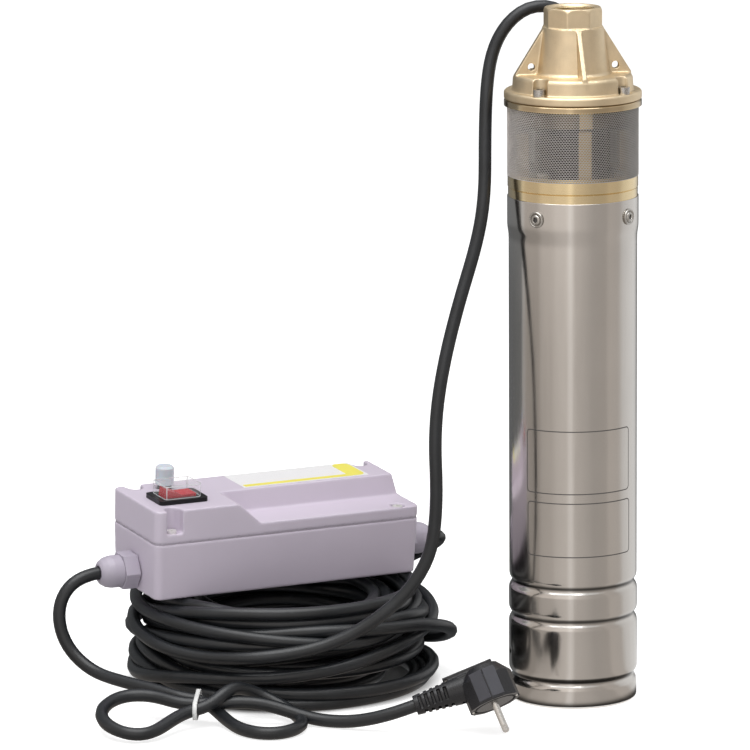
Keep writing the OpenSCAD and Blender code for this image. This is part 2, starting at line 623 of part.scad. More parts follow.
module lid_form(d) {
  l = box_l - 2 * d;
  w = box_w - 2 * d;
  r = corner_r - d;
  top = lid_top - d;
  mid = lid_mid - d;
  low = lid_z - (d > 0 ? 1 : 0);
  slab(l, w, r, low, mid);
  intersection() {
    slab(l, w, r, low, top);
    union() {
      translate([0, box_w / 2, 0]) rotate([90, 0, 0]) linear_extrude(box_w)
        polygon([[-box_l / 2, low], [plateau_foot - d, low], [plateau_foot - d, mid],
          [plateau_end - d, top], [-box_l / 2, top]]);
      intersection() {
        translate([plateau_end - 10, 0, 0]) rotate([90, 0, 90]) linear_extrude(box_l)
          polygon([[ridge_foot + d, low], [ridge_foot + d, mid], [ridge_front + d, top],
            [box_w / 2, top], [box_w / 2, low]]);
        translate([0, box_w / 2, 0]) rotate([90, 0, 0]) linear_extrude(box_w)
          polygon([[-box_l / 2, low], [ridge_end + ridge_slope - d, low], [ridge_end + ridge_slope - d, mid],
            [ridge_end - d, top], [-box_l / 2, top]]);
      }
    }
  }
}
module screw_spots() {
  for (sx = [-1, 1]) for (sy = [-1, 1]) translate([sx * screw_x, sy * screw_y, 0]) children();
}
module box_lid() {
  color([0.74, 0.71, 0.76]) on_box() difference() {
    union() {
      difference() {
        lid_form(0);
        lid_form(box_wall);
      }
      intersection() {
        lid_form(0);
        screw_spots() translate([0, 0, lid_z]) cylinder(r = boss_r, h = plateau_h);
      }
    }
    screw_spots() {
      translate([0, 0, lid_seat]) cylinder(r = 5, h = plateau_h);
      translate([0, 0, lid_z - 1]) cylinder(r = 2.1, h = plateau_h);
    }
    for (spot = [[-1, -1], [-1, 1], [1, 1]])
      translate([spot[0] * screw_x - slot_w / 2, spot[1] * (screw_y + 5) - 5, lid_seat + 1])
        cube([slot_w, 10, plateau_h]);
    translate([switch_at[0] - 15.5, switch_at[1] - 11.5, lid_z]) cube([31, 23, plateau_h + 5]);
    translate([reset_at[0], reset_at[1], lid_z]) cylinder(r = post_r + 0.2, h = plateau_h + 5);
  }
}
module box_base() {
  color([0.70, 0.66, 0.71]) on_box() difference() {
    union() {
      difference() {
        slab(box_l, box_w, corner_r, 0, base_h);
        slab(box_l - 2 * box_wall, box_w - 2 * box_wall, corner_r - box_wall, box_wall, base_h + 1);
      }
      intersection() {
        slab(box_l - 1, box_w - 1, corner_r - 0.5, 1, base_h);
        screw_spots() cylinder(r = 5.4, h = base_h);
      }
    }
    screw_spots() translate([0, 0, 18]) cylinder(r = 1.75, h = base_h);
    for (side = [0, 180]) rotate([0, 0, side]) translate([box_l / 2 - 8, 0, gland_z]) rotate([0, 90, 0])
      cylinder(r = gland_thread_r + seat_gap, h = 16);
  }
}
module lid_gasket() {
  color([0.10, 0.10, 0.10]) on_box() difference() {
    slab(box_l - 1.2, box_w - 1.2, corner_r - 0.6, base_h, lid_z);
    slab(box_l - 2 * box_wall, box_w - 2 * box_wall, corner_r - box_wall, base_h - 1, lid_z + 1);
    screw_spots() translate([0, 0, base_h - 1]) cylinder(r = 2.1, h = 4);
  }
}
module lid_screws() {
  color([0.62, 0.62, 0.62]) on_box() screw_spots() difference() {
    union() {
      translate([0, 0, lid_seat]) cylinder(r = 3.6, h = 2.4);
      translate([0, 0, 19]) cylinder(r = 1.75, h = lid_seat - 18.5);
    }
    for (a = [0, 90]) rotate([0, 0, a]) translate([-2, -0.5, lid_seat + 1.2]) cube([4, 1, 3]);
  }
}
module switch_frame() {
  color([0.05, 0.05, 0.05]) on_box() translate([switch_at[0], switch_at[1], 0]) difference() {
    union() {
      slab(frame_l, frame_w, 3, lid_top, lid_top + frame_t);
      slab(30.4, 22.4, 1, lid_top - 10, lid_top + 1);
    }
    translate([0, 0, lid_top]) cube([rocker_l + 3, rocker_w + 1, 60], center = true);
    translate([0, 0, pivot_z]) rotate([90, 0, 0])
      cylinder(r = pivot_r + pivot_gap, h = rocker_w + 4, center = true);
  }
}
module switch_body() {
  color([0.07, 0.07, 0.07]) on_box() translate([switch_at[0], switch_at[1], 0]) union() {
    slab(30.4, 22.4, 1, lid_top - 32, lid_top - 10);
    for (x = [-8, 0, 8]) translate([x - 0.4, -3.1, lid_top - 40]) cube([0.8, 6.2, 9]);
  }
}
module switch_boot() {
  color([0.85, 0.87, 0.88, 0.35]) on_box() translate([switch_at[0], switch_at[1], 0]) difference() {
    slab(boot_l, boot_w, 3, lid_top + frame_t, lid_top + frame_t + boot_h);
    slab(boot_l - 2.4, boot_w - 2.4, 2, lid_top + frame_t - 1, lid_top + frame_t + boot_h - 1.2);
  }
}
module switch_rocker() {
  color([0.75, 0.08, 0.06]) on_box() translate([switch_at[0], switch_at[1], pivot_z])
    rotate([0, rocker_rest, 0]) {
    rotate([90, 0, 0]) translate([0, 0, -rocker_w / 2]) linear_extrude(rocker_w)
      polygon([[-rocker_l / 2, -3], [rocker_l / 2, -3], [rocker_l / 2, 5.4], [0, 3.2], [-rocker_l / 2, 5.4]]);
    rotate([90, 0, 0]) cylinder(r = pivot_r, h = rocker_w + 3, center = true);
  }
}
module reset_breaker() {
  color([0.09, 0.09, 0.10]) on_box() translate([reset_at[0], reset_at[1], 0]) union() {
    translate([-breaker_l / 2, -breaker_w / 2, lid_top - box_wall - 30.1])
      cube([breaker_l, breaker_w, 30]);
    translate([0, 0, lid_top - box_wall - 1]) cylinder(r = post_r, h = box_wall + post_h + 1);
    for (x = [-9, 9]) translate([x - 0.4, -3, lid_top - box_wall - 38]) cube([0.8, 6, 9]);
  }
}
module reset_button() {
  low = lid_top + button_travel + slack;
  color([0.90, 0.90, 0.88]) on_box() translate([reset_at[0], reset_at[1], 0]) difference() {
    union() {
      translate([0, 0, low]) cylinder(r = button_r, h = lid_top + button_top - 1.4 - low);
      translate([0, 0, lid_top + button_top - 1.4]) cylinder(r1 = button_r, r2 = button_r - 1.2, h = 1.4);
    }
    translate([0, 0, low - 1]) cylinder(r = post_r + slack, h = lid_top + post_h + button_travel + 2 - low);
  }
}
module capacitor() {
  l = box_l / 2 - 36;
  color([0.80, 0.80, 0.78]) on_box() translate([10, box_w / 2 - 8 - cap_r, box_wall + cap_r])
    rotate([0, 90, 0]) union() {
    cylinder(r = cap_r, h = l);
    translate([0, 0, -3]) cylinder(r = cap_r - 2, h = 4);
    for (y = [-6, 6]) translate([-3, y - 0.4, -11]) cube([6, 0.8, 9]);
  }
}
module terminal_block() {
  color([0.86, 0.86, 0.82]) on_box() translate([plateau_end + 1, 9 - box_w / 2, box_wall])
    difference() {
    cube([60, block_w, 15]);
    for (k = [0:5]) translate([5 + 10 * k, 0, 0]) {
      translate([0, 5, 6]) cylinder(r = 2.2, h = 12);
      translate([0, block_w - 5, 6]) cylinder(r = 2.2, h = 12);
    }
  }
}
module gland_ends() { on_box() for (side = [0, 180]) rotate([0, 0, side]) translate([box_l / 2, 0, gland_z])
  rotate([0, 90, 0]) children(); }
module gland_bodies() {
  color([0.66, 0.62, 0.67]) gland_ends() difference() {
    union() {
      rotate([0, 0, 30]) cylinder(d = gland_hex / cos(30), h = gland_hex_l, $fn = 6);
      translate([0, 0, -12]) cylinder(r = gland_thread_r, h = 13);
    }
    translate([0, 0, -13]) cylinder(r = gland_bore, h = 40);
  }
}
module gland_nuts() {
  color([0.68, 0.64, 0.69]) gland_ends() difference() {
    translate([0, 0, gland_hex_l]) rotate_extrude()
      polygon([[0, 0], [11.4, 0], [11.4, 7], [10.5, 11.2], [8.4, 14.6], [6.4, dome_l], [0, dome_l]]);
    cylinder(r = gland_bore, h = 60);
  }
}
module gland_locknuts() {
  color([0.66, 0.62, 0.67]) gland_ends() difference() {
    translate([0, 0, -box_wall - 5]) rotate([0, 0, 30]) cylinder(r = 12.9, h = 5, $fn = 6);
    translate([0, 0, -box_wall - 6]) cylinder(r = gland_thread_r + seat_gap, h = 8);
  }
}

module pump_cable_drop() { color([0.08, 0.08, 0.08]) tube(drop_route, cable_r); }
module pump_cable_tail() { color([0.08, 0.08, 0.08]) tube(tail_route, cable_r); }
module mains_lead() { color([0.08, 0.08, 0.08]) tube(lead_route, cable_r); }
module pump_cable_coil() {
  h = coil_h;
  color([0.09, 0.09, 0.09]) translate([coil_at[0], coil_at[1], 0]) rotate_extrude()
    polygon([[coil_in + 8, 0], [coil_r - 12, 0], [coil_r - 3, 5], [coil_r, 14], [coil_r, h - 14],
      [coil_r - 3, h - 5], [coil_r - 12, h], [coil_in + 8, h], [coil_in + 2, h - 5], [coil_in, h - 14],
      [coil_in, 14], [coil_in + 2, 5]]);
}
module lead_tie() {
  color([0.92, 0.92, 0.90]) translate(tie_at) rotate([10, 0, 0]) rotate([0, 90, 0]) difference() {
    slab(13.4, 32.6, 6.6, -1.6, 1.6);
    slab(11.4, 30.6, 5.6, -4, 4);
  }
}
// places children along the plug's neck, their +Z running out to the cord
module on_neck() { translate([0, 0, neck_z]) rotate([0, neck_tilt - 90, 0]) children(); }
module plug_body() {
  color([0.07, 0.07, 0.07]) on_plug() difference() {
    union() {
      translate([0, 0, plug_face]) intersection() {
        cylinder(r = plug_r, h = plug_h, $fn = 12);
        cylinder(r1 = plug_r + 14, r2 = plug_r - 7, h = plug_h);
      }
      on_neck() cylinder(r1 = neck_r, r2 = relief_r, h = neck_l);
      translate([-27, -4, neck_z]) cube([36, 8, 13]);
    }
    translate([0, 0, plug_face - 1]) difference() {
      cylinder(r = 15.4, h = 2.4);
      translate([0, 0, -1]) cylinder(r = 13.6, h = 5);
    }
    for (side = [-1, 1]) translate([side * 17.6, 0, -9]) cube([5, 7, 14], center = true);
    on_neck() for (k = [0:4]) for (side = [-1, 1]) {
      translate([-4.5, side * 7 - 2.6, neck_l - 5.6 - 4.6 * k]) cube([9, 5.2, 2.3]);
      translate([side * 7 - 2.6, -4.5, neck_l - 7.9 - 4.6 * k]) cube([5.2, 9, 2.3]);
    }
    for (y = [-8.6, 6.2]) translate([-17, y, 10]) cube([22, 2.4, 9]);
  }
}
module plug_pins() {
  low = plug_face - pin_len;
  color([0.80, 0.80, 0.80]) on_plug() for (side = [-1, 1]) translate([0, side * pin_gap / 2, 0]) union() {
    translate([0, 0, low + 1.2]) cylinder(r = pin_r, h = pin_len - 1.2);
    translate([0, 0, low]) cylinder(r1 = pin_r - 1, r2 = pin_r, h = 1.2);
  }
}
module plug_earth_clips() {
  color([0.78, 0.76, 0.66]) on_plug() for (side = [-1, 1]) translate([side * 16, 0, -9])
    cube([1.6, 5, 10], center = true);
}

delivery_head();
head_screws();
head_o_ring();
suction_lantern();
strainer();
lantern_screws();
motor_flange();
flange_o_ring();
casing_screws();
motor_casing();
stator_core();
stator_windings();
upper_bearing_outer();
lower_bearing_outer();
bearing_bracket();
bracket_o_ring();
pressure_diaphragm();
base_cover();
seal_seat();
cable_gland_nut();
cable_gland_seal();
lead_in_cable();
cable_foot_seal();
motor_shaft();
rotor_core();
upper_bearing_inner();
lower_bearing_inner();
upper_bearing_balls();
lower_bearing_balls();
impeller();
impeller_key();
impeller_nut();
seal_head();
box_base();
box_lid();
lid_gasket();
lid_screws();
switch_frame();
switch_body();
switch_boot();
switch_rocker();
reset_breaker();
reset_button();
capacitor();
terminal_block();
gland_bodies();
gland_nuts();
gland_locknuts();
pump_cable_drop();
pump_cable_coil();
pump_cable_tail();
mains_lead();
lead_tie();
plug_body();
plug_pins();
plug_earth_clips();
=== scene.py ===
# %% [markdown]
# # A borehole pump, its cable coil and its control box
#
# The solids of the pump are already made and stand in one frame: the pump upright on the origin, its
# outlet facing up, lengths in metres. This lesson dresses them. Each cell says what a piece is on the
# real pump, how it could be made, and why it is made this way here.

import math

import bmesh
import bpy
import numpy as np
from mathutils import Matrix, Vector


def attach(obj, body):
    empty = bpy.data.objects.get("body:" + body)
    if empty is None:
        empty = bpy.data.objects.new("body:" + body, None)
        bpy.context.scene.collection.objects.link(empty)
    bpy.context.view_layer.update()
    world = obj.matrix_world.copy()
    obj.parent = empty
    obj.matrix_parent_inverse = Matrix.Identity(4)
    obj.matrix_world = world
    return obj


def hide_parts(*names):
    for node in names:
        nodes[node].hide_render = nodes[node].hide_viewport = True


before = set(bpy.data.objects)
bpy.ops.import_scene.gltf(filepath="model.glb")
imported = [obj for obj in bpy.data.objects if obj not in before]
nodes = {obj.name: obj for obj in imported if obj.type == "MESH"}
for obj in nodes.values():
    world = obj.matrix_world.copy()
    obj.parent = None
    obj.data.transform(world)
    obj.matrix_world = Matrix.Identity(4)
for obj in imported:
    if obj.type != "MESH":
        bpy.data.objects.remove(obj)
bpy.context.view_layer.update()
scene = bpy.context.scene
scene.view_settings.view_transform = "Standard"
MM = 0.001

# %% [markdown]
# ## The camera
#
# The pump was photographed from far off with a long lens, a little above the middle of its height, so
# its upright edges stay almost parallel. A long lens of 305 mm at 4.4 m gives the same flat look. The
# camera is placed by its own axes, because the picture also leans by a third of a degree.

# %% Place the camera
eye = Vector((-0.8874, -4.2424, 1.046))
sight = Vector((0.17064, 0.96774, -0.18541)).normalized()
lean = math.radians(-0.35)
side = sight.cross(Vector((0, 0, 1))).normalized()
above = side.cross(sight)
across = side * math.cos(lean) + above * math.sin(lean)
upright = above * math.cos(lean) - side * math.sin(lean)
camera = bpy.data.objects.new("camera", bpy.data.cameras.new("camera"))
camera.data.lens = 305.14
camera.data.sensor_width = 36
camera.data.clip_end = 50
camera.matrix_world = Matrix(
    ((across.x, upright.x, -sight.x, eye.x), (across.y, upright.y, -sight.y, eye.y),
     (across.z, upright.z, -sight.z, eye.z), (0, 0, 0, 1)))
scene.collection.objects.link(camera)
scene.camera = camera
print("camera at", [round(v, 3) for v in eye], "lens", camera.data.lens)

# %% [markdown]
# ## Helpers for pieces and finishes
#
# Every piece is a mesh or a curve that rides on one of the pump's bodies. Every finish is one shader
# with three layers that real surfaces have: a slow drift of colour, an uneven gloss and a fine relief.
# They all read the object's own coordinates, so the pattern stays on the piece from every side.


# %% Make a piece from points and faces
def piece(name, points, faces, finish, body="pump_set", stands_for=(), smooth=True):
    mesh = bpy.data.meshes.new(name)
    mesh.from_pydata([tuple(p) for p in points], [], faces)
    mesh.validate()
    for poly in mesh.polygons:
        poly.use_smooth = smooth
    obj = bpy.data.objects.new(name, mesh)
    scene.collection.objects.link(obj)
    mesh.materials.append(finish)
    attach(obj, body)
    if stands_for:
        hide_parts(*stands_for)
    return obj


def thicken(obj, depth):
    """Gives an open sheet its thickness in millimetres, inwards from its outer face."""
    thick = obj.modifiers.new("thick", "SOLIDIFY")
    thick.thickness = depth * MM
    thick.offset = -1
    return obj


# %% Add shader nodes
def add_node(tree, kind, inputs, operation=None):
    """A shader node; each input gets a plain value or the socket that feeds it."""
    new = tree.nodes.new("ShaderNode" + kind)
    if operation:
        new.operation = operation
    for key, value in inputs.items():
        if isinstance(value, bpy.types.NodeSocket):
            tree.links.new(value, new.inputs[key])
        else:
            new.inputs[key].default_value = value
    return new


def maths(tree, operation, *values):
    return add_node(tree, "Math", dict(enumerate(values)), operation).outputs[0]


def place_on(tree):
    """The object's own coordinates."""
    return add_node(tree, "TexCoord", {}).outputs["Object"]


# %% Make a finish
def finish(name, colour, rough, metal=0.0, drift=0.06, drift_size=0.02, grain=0.0004, relief=0.05,
           gloss=0.08, stretch=(1, 1, 1), **sockets):
    """drift: share of colour change over drift_size; grain: relief size in metres;
    gloss: roughness spread."""
    mat = bpy.data.materials.new(name)
    mat.use_nodes = True
    tree = mat.node_tree
    shader = tree.nodes["Principled BSDF"]
    shader.inputs["Metallic"].default_value = metal
    for key, value in sockets.items():
        shader.inputs[key.replace("_", " ")].default_value = value
    spot = place_on(tree)
    slow = add_node(tree, "TexNoise", {"Vector": spot, "Scale": 1 / drift_size, "Detail": 4})
    tint = add_node(tree, "ValToRGB", {"Fac": slow.outputs["Fac"]})
    for stop, position, share in zip(tint.color_ramp.elements, (0.3, 0.7), (1 - drift, 1 + drift)):
        stop.position = position
        stop.color = [min(1, c * share) for c in colour] + [1]
    placed = add_node(tree, "Mapping", {"Vector": spot, "Scale": stretch})
    fine = add_node(tree, "TexNoise", {"Vector": placed.outputs["Vector"], "Scale": 1 / grain, "Detail": 3})
    spread = add_node(tree, "MapRange", {"Value": fine.outputs["Fac"], "From Min": 0.3, "From Max": 0.7,
                                         "To Min": max(0.02, rough - gloss),
                                         "To Max": min(1, rough + gloss)})
    bump = add_node(tree, "Bump", {"Height": fine.outputs["Fac"], "Strength": relief, "Distance": grain})
    for key, socket in (("Base Color", tint.outputs["Color"]), ("Roughness", spread.outputs["Result"]),
                        ("Normal", bump.outputs["Normal"])):
        tree.links.new(socket, shader.inputs[key])
    return mat


# %% [markdown]
# ## The finishes
#
# The head and the lantern are cast and turned brass, the motor is a rolled stainless sheet with a smooth
# sheen, the box is moulded in a pale lilac-grey plastic and the cables are sheathed in black rubber with
# a chalky bloom. Turned lines come from noise that is stretched round the axis: it changes fast with
# height and slowly along the wall.

# %% Mix the finishes
brass_cast = finish("brass_cast", (0.72, 0.595, 0.41), 0.46, 1.0, drift=0.09, drift_size=0.014,
                    grain=0.0008, relief=0.16, gloss=0.08)
brass_turned, brass_flange, brass_lantern = (
    finish(name, (0.80, 0.655, 0.405), 0.17, 1.0, drift=0.06, drift_size=0.03, grain=0.0004, relief=0.03,
           gloss=0.05, stretch=(0.04, 0.04, 1)) for name in ("brass_turned", "brass_flange", "brass_lantern"))
steel_rolled = finish("steel_rolled", (0.63, 0.605, 0.575), 0.165, 1.0, drift=0.025, drift_size=0.05,
                      grain=0.003, relief=0.012, gloss=0.03, stretch=(1, 1, 0.06))
steel_mesh = finish("steel_mesh", (0.60, 0.585, 0.575), 0.58, 1.0, drift=0.06, drift_size=0.01)
steel_screw = finish("steel_screw", (0.50, 0.485, 0.46), 0.26, 1.0, drift=0.06, drift_size=0.004)
steel_zinc = finish("steel_zinc", (0.80, 0.79, 0.77), 0.40, 0.4, drift=0.05, drift_size=0.004)
steel_bright = finish("steel_bright", (0.68, 0.67, 0.65), 0.22, 1.0, drift=0.05, drift_size=0.004)
steel_dark = finish("steel_dark", (0.34, 0.34, 0.35), 0.42, 1.0, drift=0.08, drift_size=0.01)
box_plastic = finish("box_plastic", (0.60, 0.535, 0.63), 0.42, drift=0.02, drift_size=0.05, grain=0.0005,
                     relief=0.03, gloss=0.05)
gasket_grey = finish("gasket_grey", (0.40, 0.355, 0.42), 0.55, drift=0.05, relief=0.05)
gland_plastic = finish("gland_plastic", (0.44, 0.40, 0.475), 0.40, drift=0.02, grain=0.0005, relief=0.03)
cable_rubber = finish("cable_rubber", (0.0138, 0.0156, 0.0182), 0.37, drift=0.30, drift_size=0.03,
                      grain=0.0008, relief=0.06, gloss=0.08)
plug_rubber = finish("plug_rubber", (0.0095, 0.0098, 0.0125), 0.32, drift=0.16, drift_size=0.01,
                     grain=0.0006, relief=0.08)
# the grip panels' lighter grey is a painted highlight on the plug's lit front facets
plug_panel = finish("plug_panel", (0.048, 0.049, 0.060), 0.40, drift=0.08, drift_size=0.01, grain=0.0006,
                    relief=0.06)
black_moulding = finish("black_moulding", (0.007, 0.007, 0.008), 0.34, drift=0.15, grain=0.0005,
                        Specular_IOR_Level=0.25)
seal_rubber = finish("seal_rubber", (0.018, 0.018, 0.018), 0.55, drift=0.15, grain=0.0008, relief=0.1)
rocker_red = finish("rocker_red", (0.54, 0.007, 0.018), 0.22, drift=0.05, drift_size=0.008, relief=0.02)
boot_clear = finish("boot_clear", (0.86, 0.88, 0.89), 0.08, drift=0.02, gloss=0.03, relief=0.02, Alpha=0.06,
                    Specular_IOR_Level=0.2)
# pale strips on the boot's edges: painted reflection
boot_edge_reflection = finish("boot_edge_reflection", (0.82, 0.83, 0.85), 0.20, drift=0.03, relief=0.02, Alpha=0.5)
button_milky = finish("button_milky", (0.60, 0.64, 0.70), 0.34, drift=0.04, drift_size=0.01, relief=0.03,
                      Subsurface_Weight=0.25, Subsurface_Scale=0.004)
label_white = finish("label_white", (0.84, 0.83, 0.84), 0.34, drift=0.01, relief=0.02)
label_yellow = finish("label_yellow", (0.86, 0.78, 0.13), 0.38, drift=0.02, relief=0.02)
# dark grey: the ink of the printed frames, and painted shade on the screws' socket floors
print_and_shade_grey = finish("print_and_shade_grey", (0.085, 0.078, 0.074), 0.5, drift=0.05, relief=0.02)
tie_nylon = finish("tie_nylon", (0.82, 0.82, 0.81), 0.36, drift=0.03, relief=0.04)
copper_wire = finish("copper_wire", (0.50, 0.20, 0.07), 0.35, 0.6, drift=0.15, drift_size=0.004, grain=0.0012,
                     relief=0.3, stretch=(1, 1, 0.2))
ceramic = finish("ceramic", (0.72, 0.70, 0.62), 0.25, drift=0.03, relief=0.02)
pale_moulding = finish("pale_moulding", (0.62, 0.62, 0.58), 0.45, drift=0.04, relief=0.05)
print(len(bpy.data.materials), "finishes")


# %% [markdown]
# ## Painted shade and painted light
#
# Shade is painted into the colour: inside the lantern and the flange, on the lantern's top ring under the
# head's flange, and in the casing's rolled grooves. Light is painted on the strainer's sheet, lighter on its
# left. Each could be painted by hand. Here the colour follows where a point lies on the piece: its distance
# from the pump's axis, its height, or its place from left to right.


# %% Darken a finish by place
def keep_share(mat, share, rest=(0, 0, 0)):
    """The finish keeps a share of its colour and gives way to another colour for the rest."""
    tree = mat.node_tree
    base = tree.nodes["Principled BSDF"].inputs["Base Color"]
    mix = tree.nodes.new("ShaderNodeMix")
    mix.data_type = "RGBA"
    mix.inputs[6].default_value = (*rest, 1)
    tree.links.new(share, mix.inputs[0])
    tree.links.new(base.links[0].from_socket, mix.inputs[7])
    tree.links.new(mix.outputs[2], base)


def paint_inside_shade(mat, radius, dark, above=None, strip=None):
    """Paints shade: the colour falls to a dark shade inside a radius from the pump's axis; above: only over
    this height;
    strip: half width of a strip along each column that keeps its own colour."""
    tree = mat.node_tree
    spot = place_on(tree)
    parts = add_node(tree, "SeparateXYZ", {"Vector": spot}).outputs
    flat = add_node(tree, "VectorMath", {0: spot, 1: (1, 1, 0)}, "MULTIPLY").outputs["Vector"]
    reach = add_node(tree, "VectorMath", {0: flat}, "LENGTH").outputs["Value"]
    share = add_node(tree, "MapRange", {"Value": reach, "From Min": radius - 0.0008,
                                        "From Max": radius + 0.0008}).outputs["Result"]
    if above:
        rise = add_node(tree, "MapRange", {"Value": parts["Z"], "From Min": above + 0.001,
                                           "From Max": above - 0.001}).outputs["Result"]
        share = maths(tree, "MAXIMUM", share, rise)
    if strip:
        near = maths(tree, "MINIMUM", *(maths(tree, "ABSOLUTE", parts[axis]) for axis in "XY"))
        share = maths(tree, "MAXIMUM", share, maths(tree, "LESS_THAN", near, strip))
    keep_share(mat, share, dark)


def paint_groove_shade(mat, heights, reach, keep):
    """Painted shade in the grooves: near each height the colour falls to a share of itself."""
    tree = mat.node_tree
    level = add_node(tree, "SeparateXYZ", {"Vector": place_on(tree)}).outputs["Z"]
    share = 1.0
    for height in heights:
        off = maths(tree, "ABSOLUTE", maths(tree, "SUBTRACT", level, height))
        fade = add_node(tree, "MapRange", {"Value": off, "From Max": reach, "To Min": keep})
        fade.interpolation_type = "SMOOTHSTEP"
        share = maths(tree, "MINIMUM", share, fade.outputs["Result"])
    keep_share(mat, share)


def paint_side_light(mat, start, end, from_share, to_share):
    """Painted light across a sheet: the colour's share changes along X from start to end, lighter on one side.
    """
    tree = mat.node_tree
    base = tree.nodes["Principled BSDF"].inputs["Base Color"]
    along = add_node(tree, "SeparateXYZ", {"Vector": place_on(tree)}).outputs["X"]
    share = add_node(tree, "MapRange", {"Value": along, "From Min": start, "From Max": end,
                                        "To Min": from_share, "To Max": to_share})
    share.interpolation_type = "SMOOTHSTEP"
    tone = add_node(tree, "VectorMath", {0: base.links[0].from_socket, "Scale": share.outputs["Result"]},
                    "SCALE")
    tree.links.new(tone.outputs["Vector"], base)


# painted light: the strainer's sheet is lighter at its left and darker in front and to the right
paint_side_light(steel_mesh, -0.042, -0.022, 1.42, 0.83)
# painted shade in the casing's three rolled grooves
paint_groove_shade(steel_rolled, (0.0846, 0.0615, 0.0187), 0.0027, 0.12)
# painted shade: the flange's hub and the lantern are darkened inside, where little light reaches
inside_shade = (0.035, 0.030, 0.026)
paint_inside_shade(brass_flange, 0.0295, inside_shade)
paint_inside_shade(brass_lantern, 0.0305, inside_shade)
# painted shade behind the strainer's sheet, except a strip along each column
paint_inside_shade(brass_lantern, 0.0448, inside_shade, above=0.399, strip=0.0045)
# painted shade on the lantern's top ring, under the head's flange
paint_inside_shade(brass_lantern, 0.060, (0.53, 0.42, 0.27), above=0.4174)
print("the lantern and the flange are dark inside")

# %% [markdown]
# ## The cords
#
# A cable is a fixed length of something flexible. The pump cable leaves the gland on the brass head,
# rises in a small arch, hangs down beside the motor and lands on the front of the coil under the box. It
# then winds inwards and out again, and its other end climbs behind the box into the right gland.
#
# A coil could be one perfect spiral, but a hand-wound coil never is. So the turns start from a loose
# list of places across the coil, and a short relaxation then pushes overlapping turns apart, keeps the
# cable's length, and keeps it above the floor, under the box and inside the coil's walls.


# %% A smooth curve through route points
def smooth_route(points, step):
    p = np.array(points, float)
    p = np.vstack([2 * p[0] - p[1], p, 2 * p[-1] - p[-2]])
    fine = []
    for a, b, c, d in zip(p[:-3], p[1:-2], p[2:-1], p[3:]):
        for t in np.linspace(0, 1, 24, endpoint=False):
            fine.append(0.5 * (2 * b + (c - a) * t + (2 * a - 5 * b + 4 * c - d) * t**2
                               + (3 * b - a - 3 * c + d) * t**3))
    return even(np.vstack([fine, p[-2]]), step)


def even(points, step):
    """The same line with points a step apart."""
    run = np.concatenate([[0], np.cumsum(np.linalg.norm(np.diff(points, axis=0), axis=1))])
    count = max(2, int(round(run[-1] / step)) + 1)
    want = np.linspace(0, run[-1], count)
    return np.stack([np.interp(want, run, points[:, k]) for k in range(3)], axis=1)


def ease_bends(points, rounds):
    """Evens out sharp bends: each point moves towards the middle of its neighbours, then part of the
    way back."""
    p = points.copy()
    for _ in range(rounds):
        for amount in (0.5, -0.34):
            move = np.zeros_like(p)
            move[2:-2] = 0.5 * (p[1:-3] + p[3:-1]) - p[2:-2]
            p += amount * move
    return p


def length_of(points):
    return float(np.linalg.norm(np.diff(points, axis=0), axis=1).sum())


# %% Routes of the two free ends, in millimetres
drop_route = [
    (14.54, 35.11, 446.9), (14, 35, 456), (9, 34.5, 469), (-2, 34.5, 478.6), (-16, 34, 482.4),
    (-29, 33.7, 478.8), (-40.5, 33.5, 468.6), (-48, 32.8, 456), (-52.4, 29.2, 443.3), (-55.6, 24, 426.9),
    (-57.8, 17.6, 407.6), (-59.6, 10.5, 386.4), (-61.2, 3.5, 363.3), (-64.7, -2.8, 341.2), (-70.9, -7, 317.9),
    (-82.2, -14.4, 286.4), (-93.2, -24, 253.3), (-101.2, -32.5, 220.5), (-104.2, -36.7, 191),
    (-104, -39.5, 164.2), (-104.9, -39.9, 138.2), (-109.1, -39.7, 113.6), (-122.4, -37.3, 89.8),
    (-141, -34, 71.8), (-161.5, -30.4, 58), (-186, -26, 48), (-210, -24.4, 44), (-233.6, -17.6, 41),
    (-254, 0, 38)]
tail_route = [
    (-77.36, 134.14, 88.6), (-69.3, 139.6, 87.6), (-65.6, 148.6, 84.4), (-67, 158.4, 79.4),
    (-71.6, 168, 73.4), (-79.4, 177, 66.8), (-91, 184.4, 60), (-106, 189, 53.6), (-124, 191.4, 48.4),
    (-144, 190.6, 44.6)]
cable_d = 9.0
coil_at = np.array([-191.5, 90.3])
drop = even(ease_bends(smooth_route(drop_route, 4), 14), 12)
tail = even(ease_bends(smooth_route(tail_route, 4), 10), 12)[::-1]
print("free ends", round(length_of(drop)), "and", round(length_of(tail)), "mm")

# %% Wind the turns loosely, places as (radius, height) in millimetres
rng = np.random.default_rng(7)
places = [(106, 40), (97, 45), (84, 43), (71, 47), (63, 58), (76, 63), (90, 61), (102, 55), (105, 25),
          (93, 22), (80, 26), (67, 20), (62, 6), (70, 13), (84, 8), (98, 6), (105, 14), (95, 32), (82, 35),
          (67, 33), (66, 66), (80, 55), (93, 66), (99, 51), (107, 44)]
turn_steps = 56


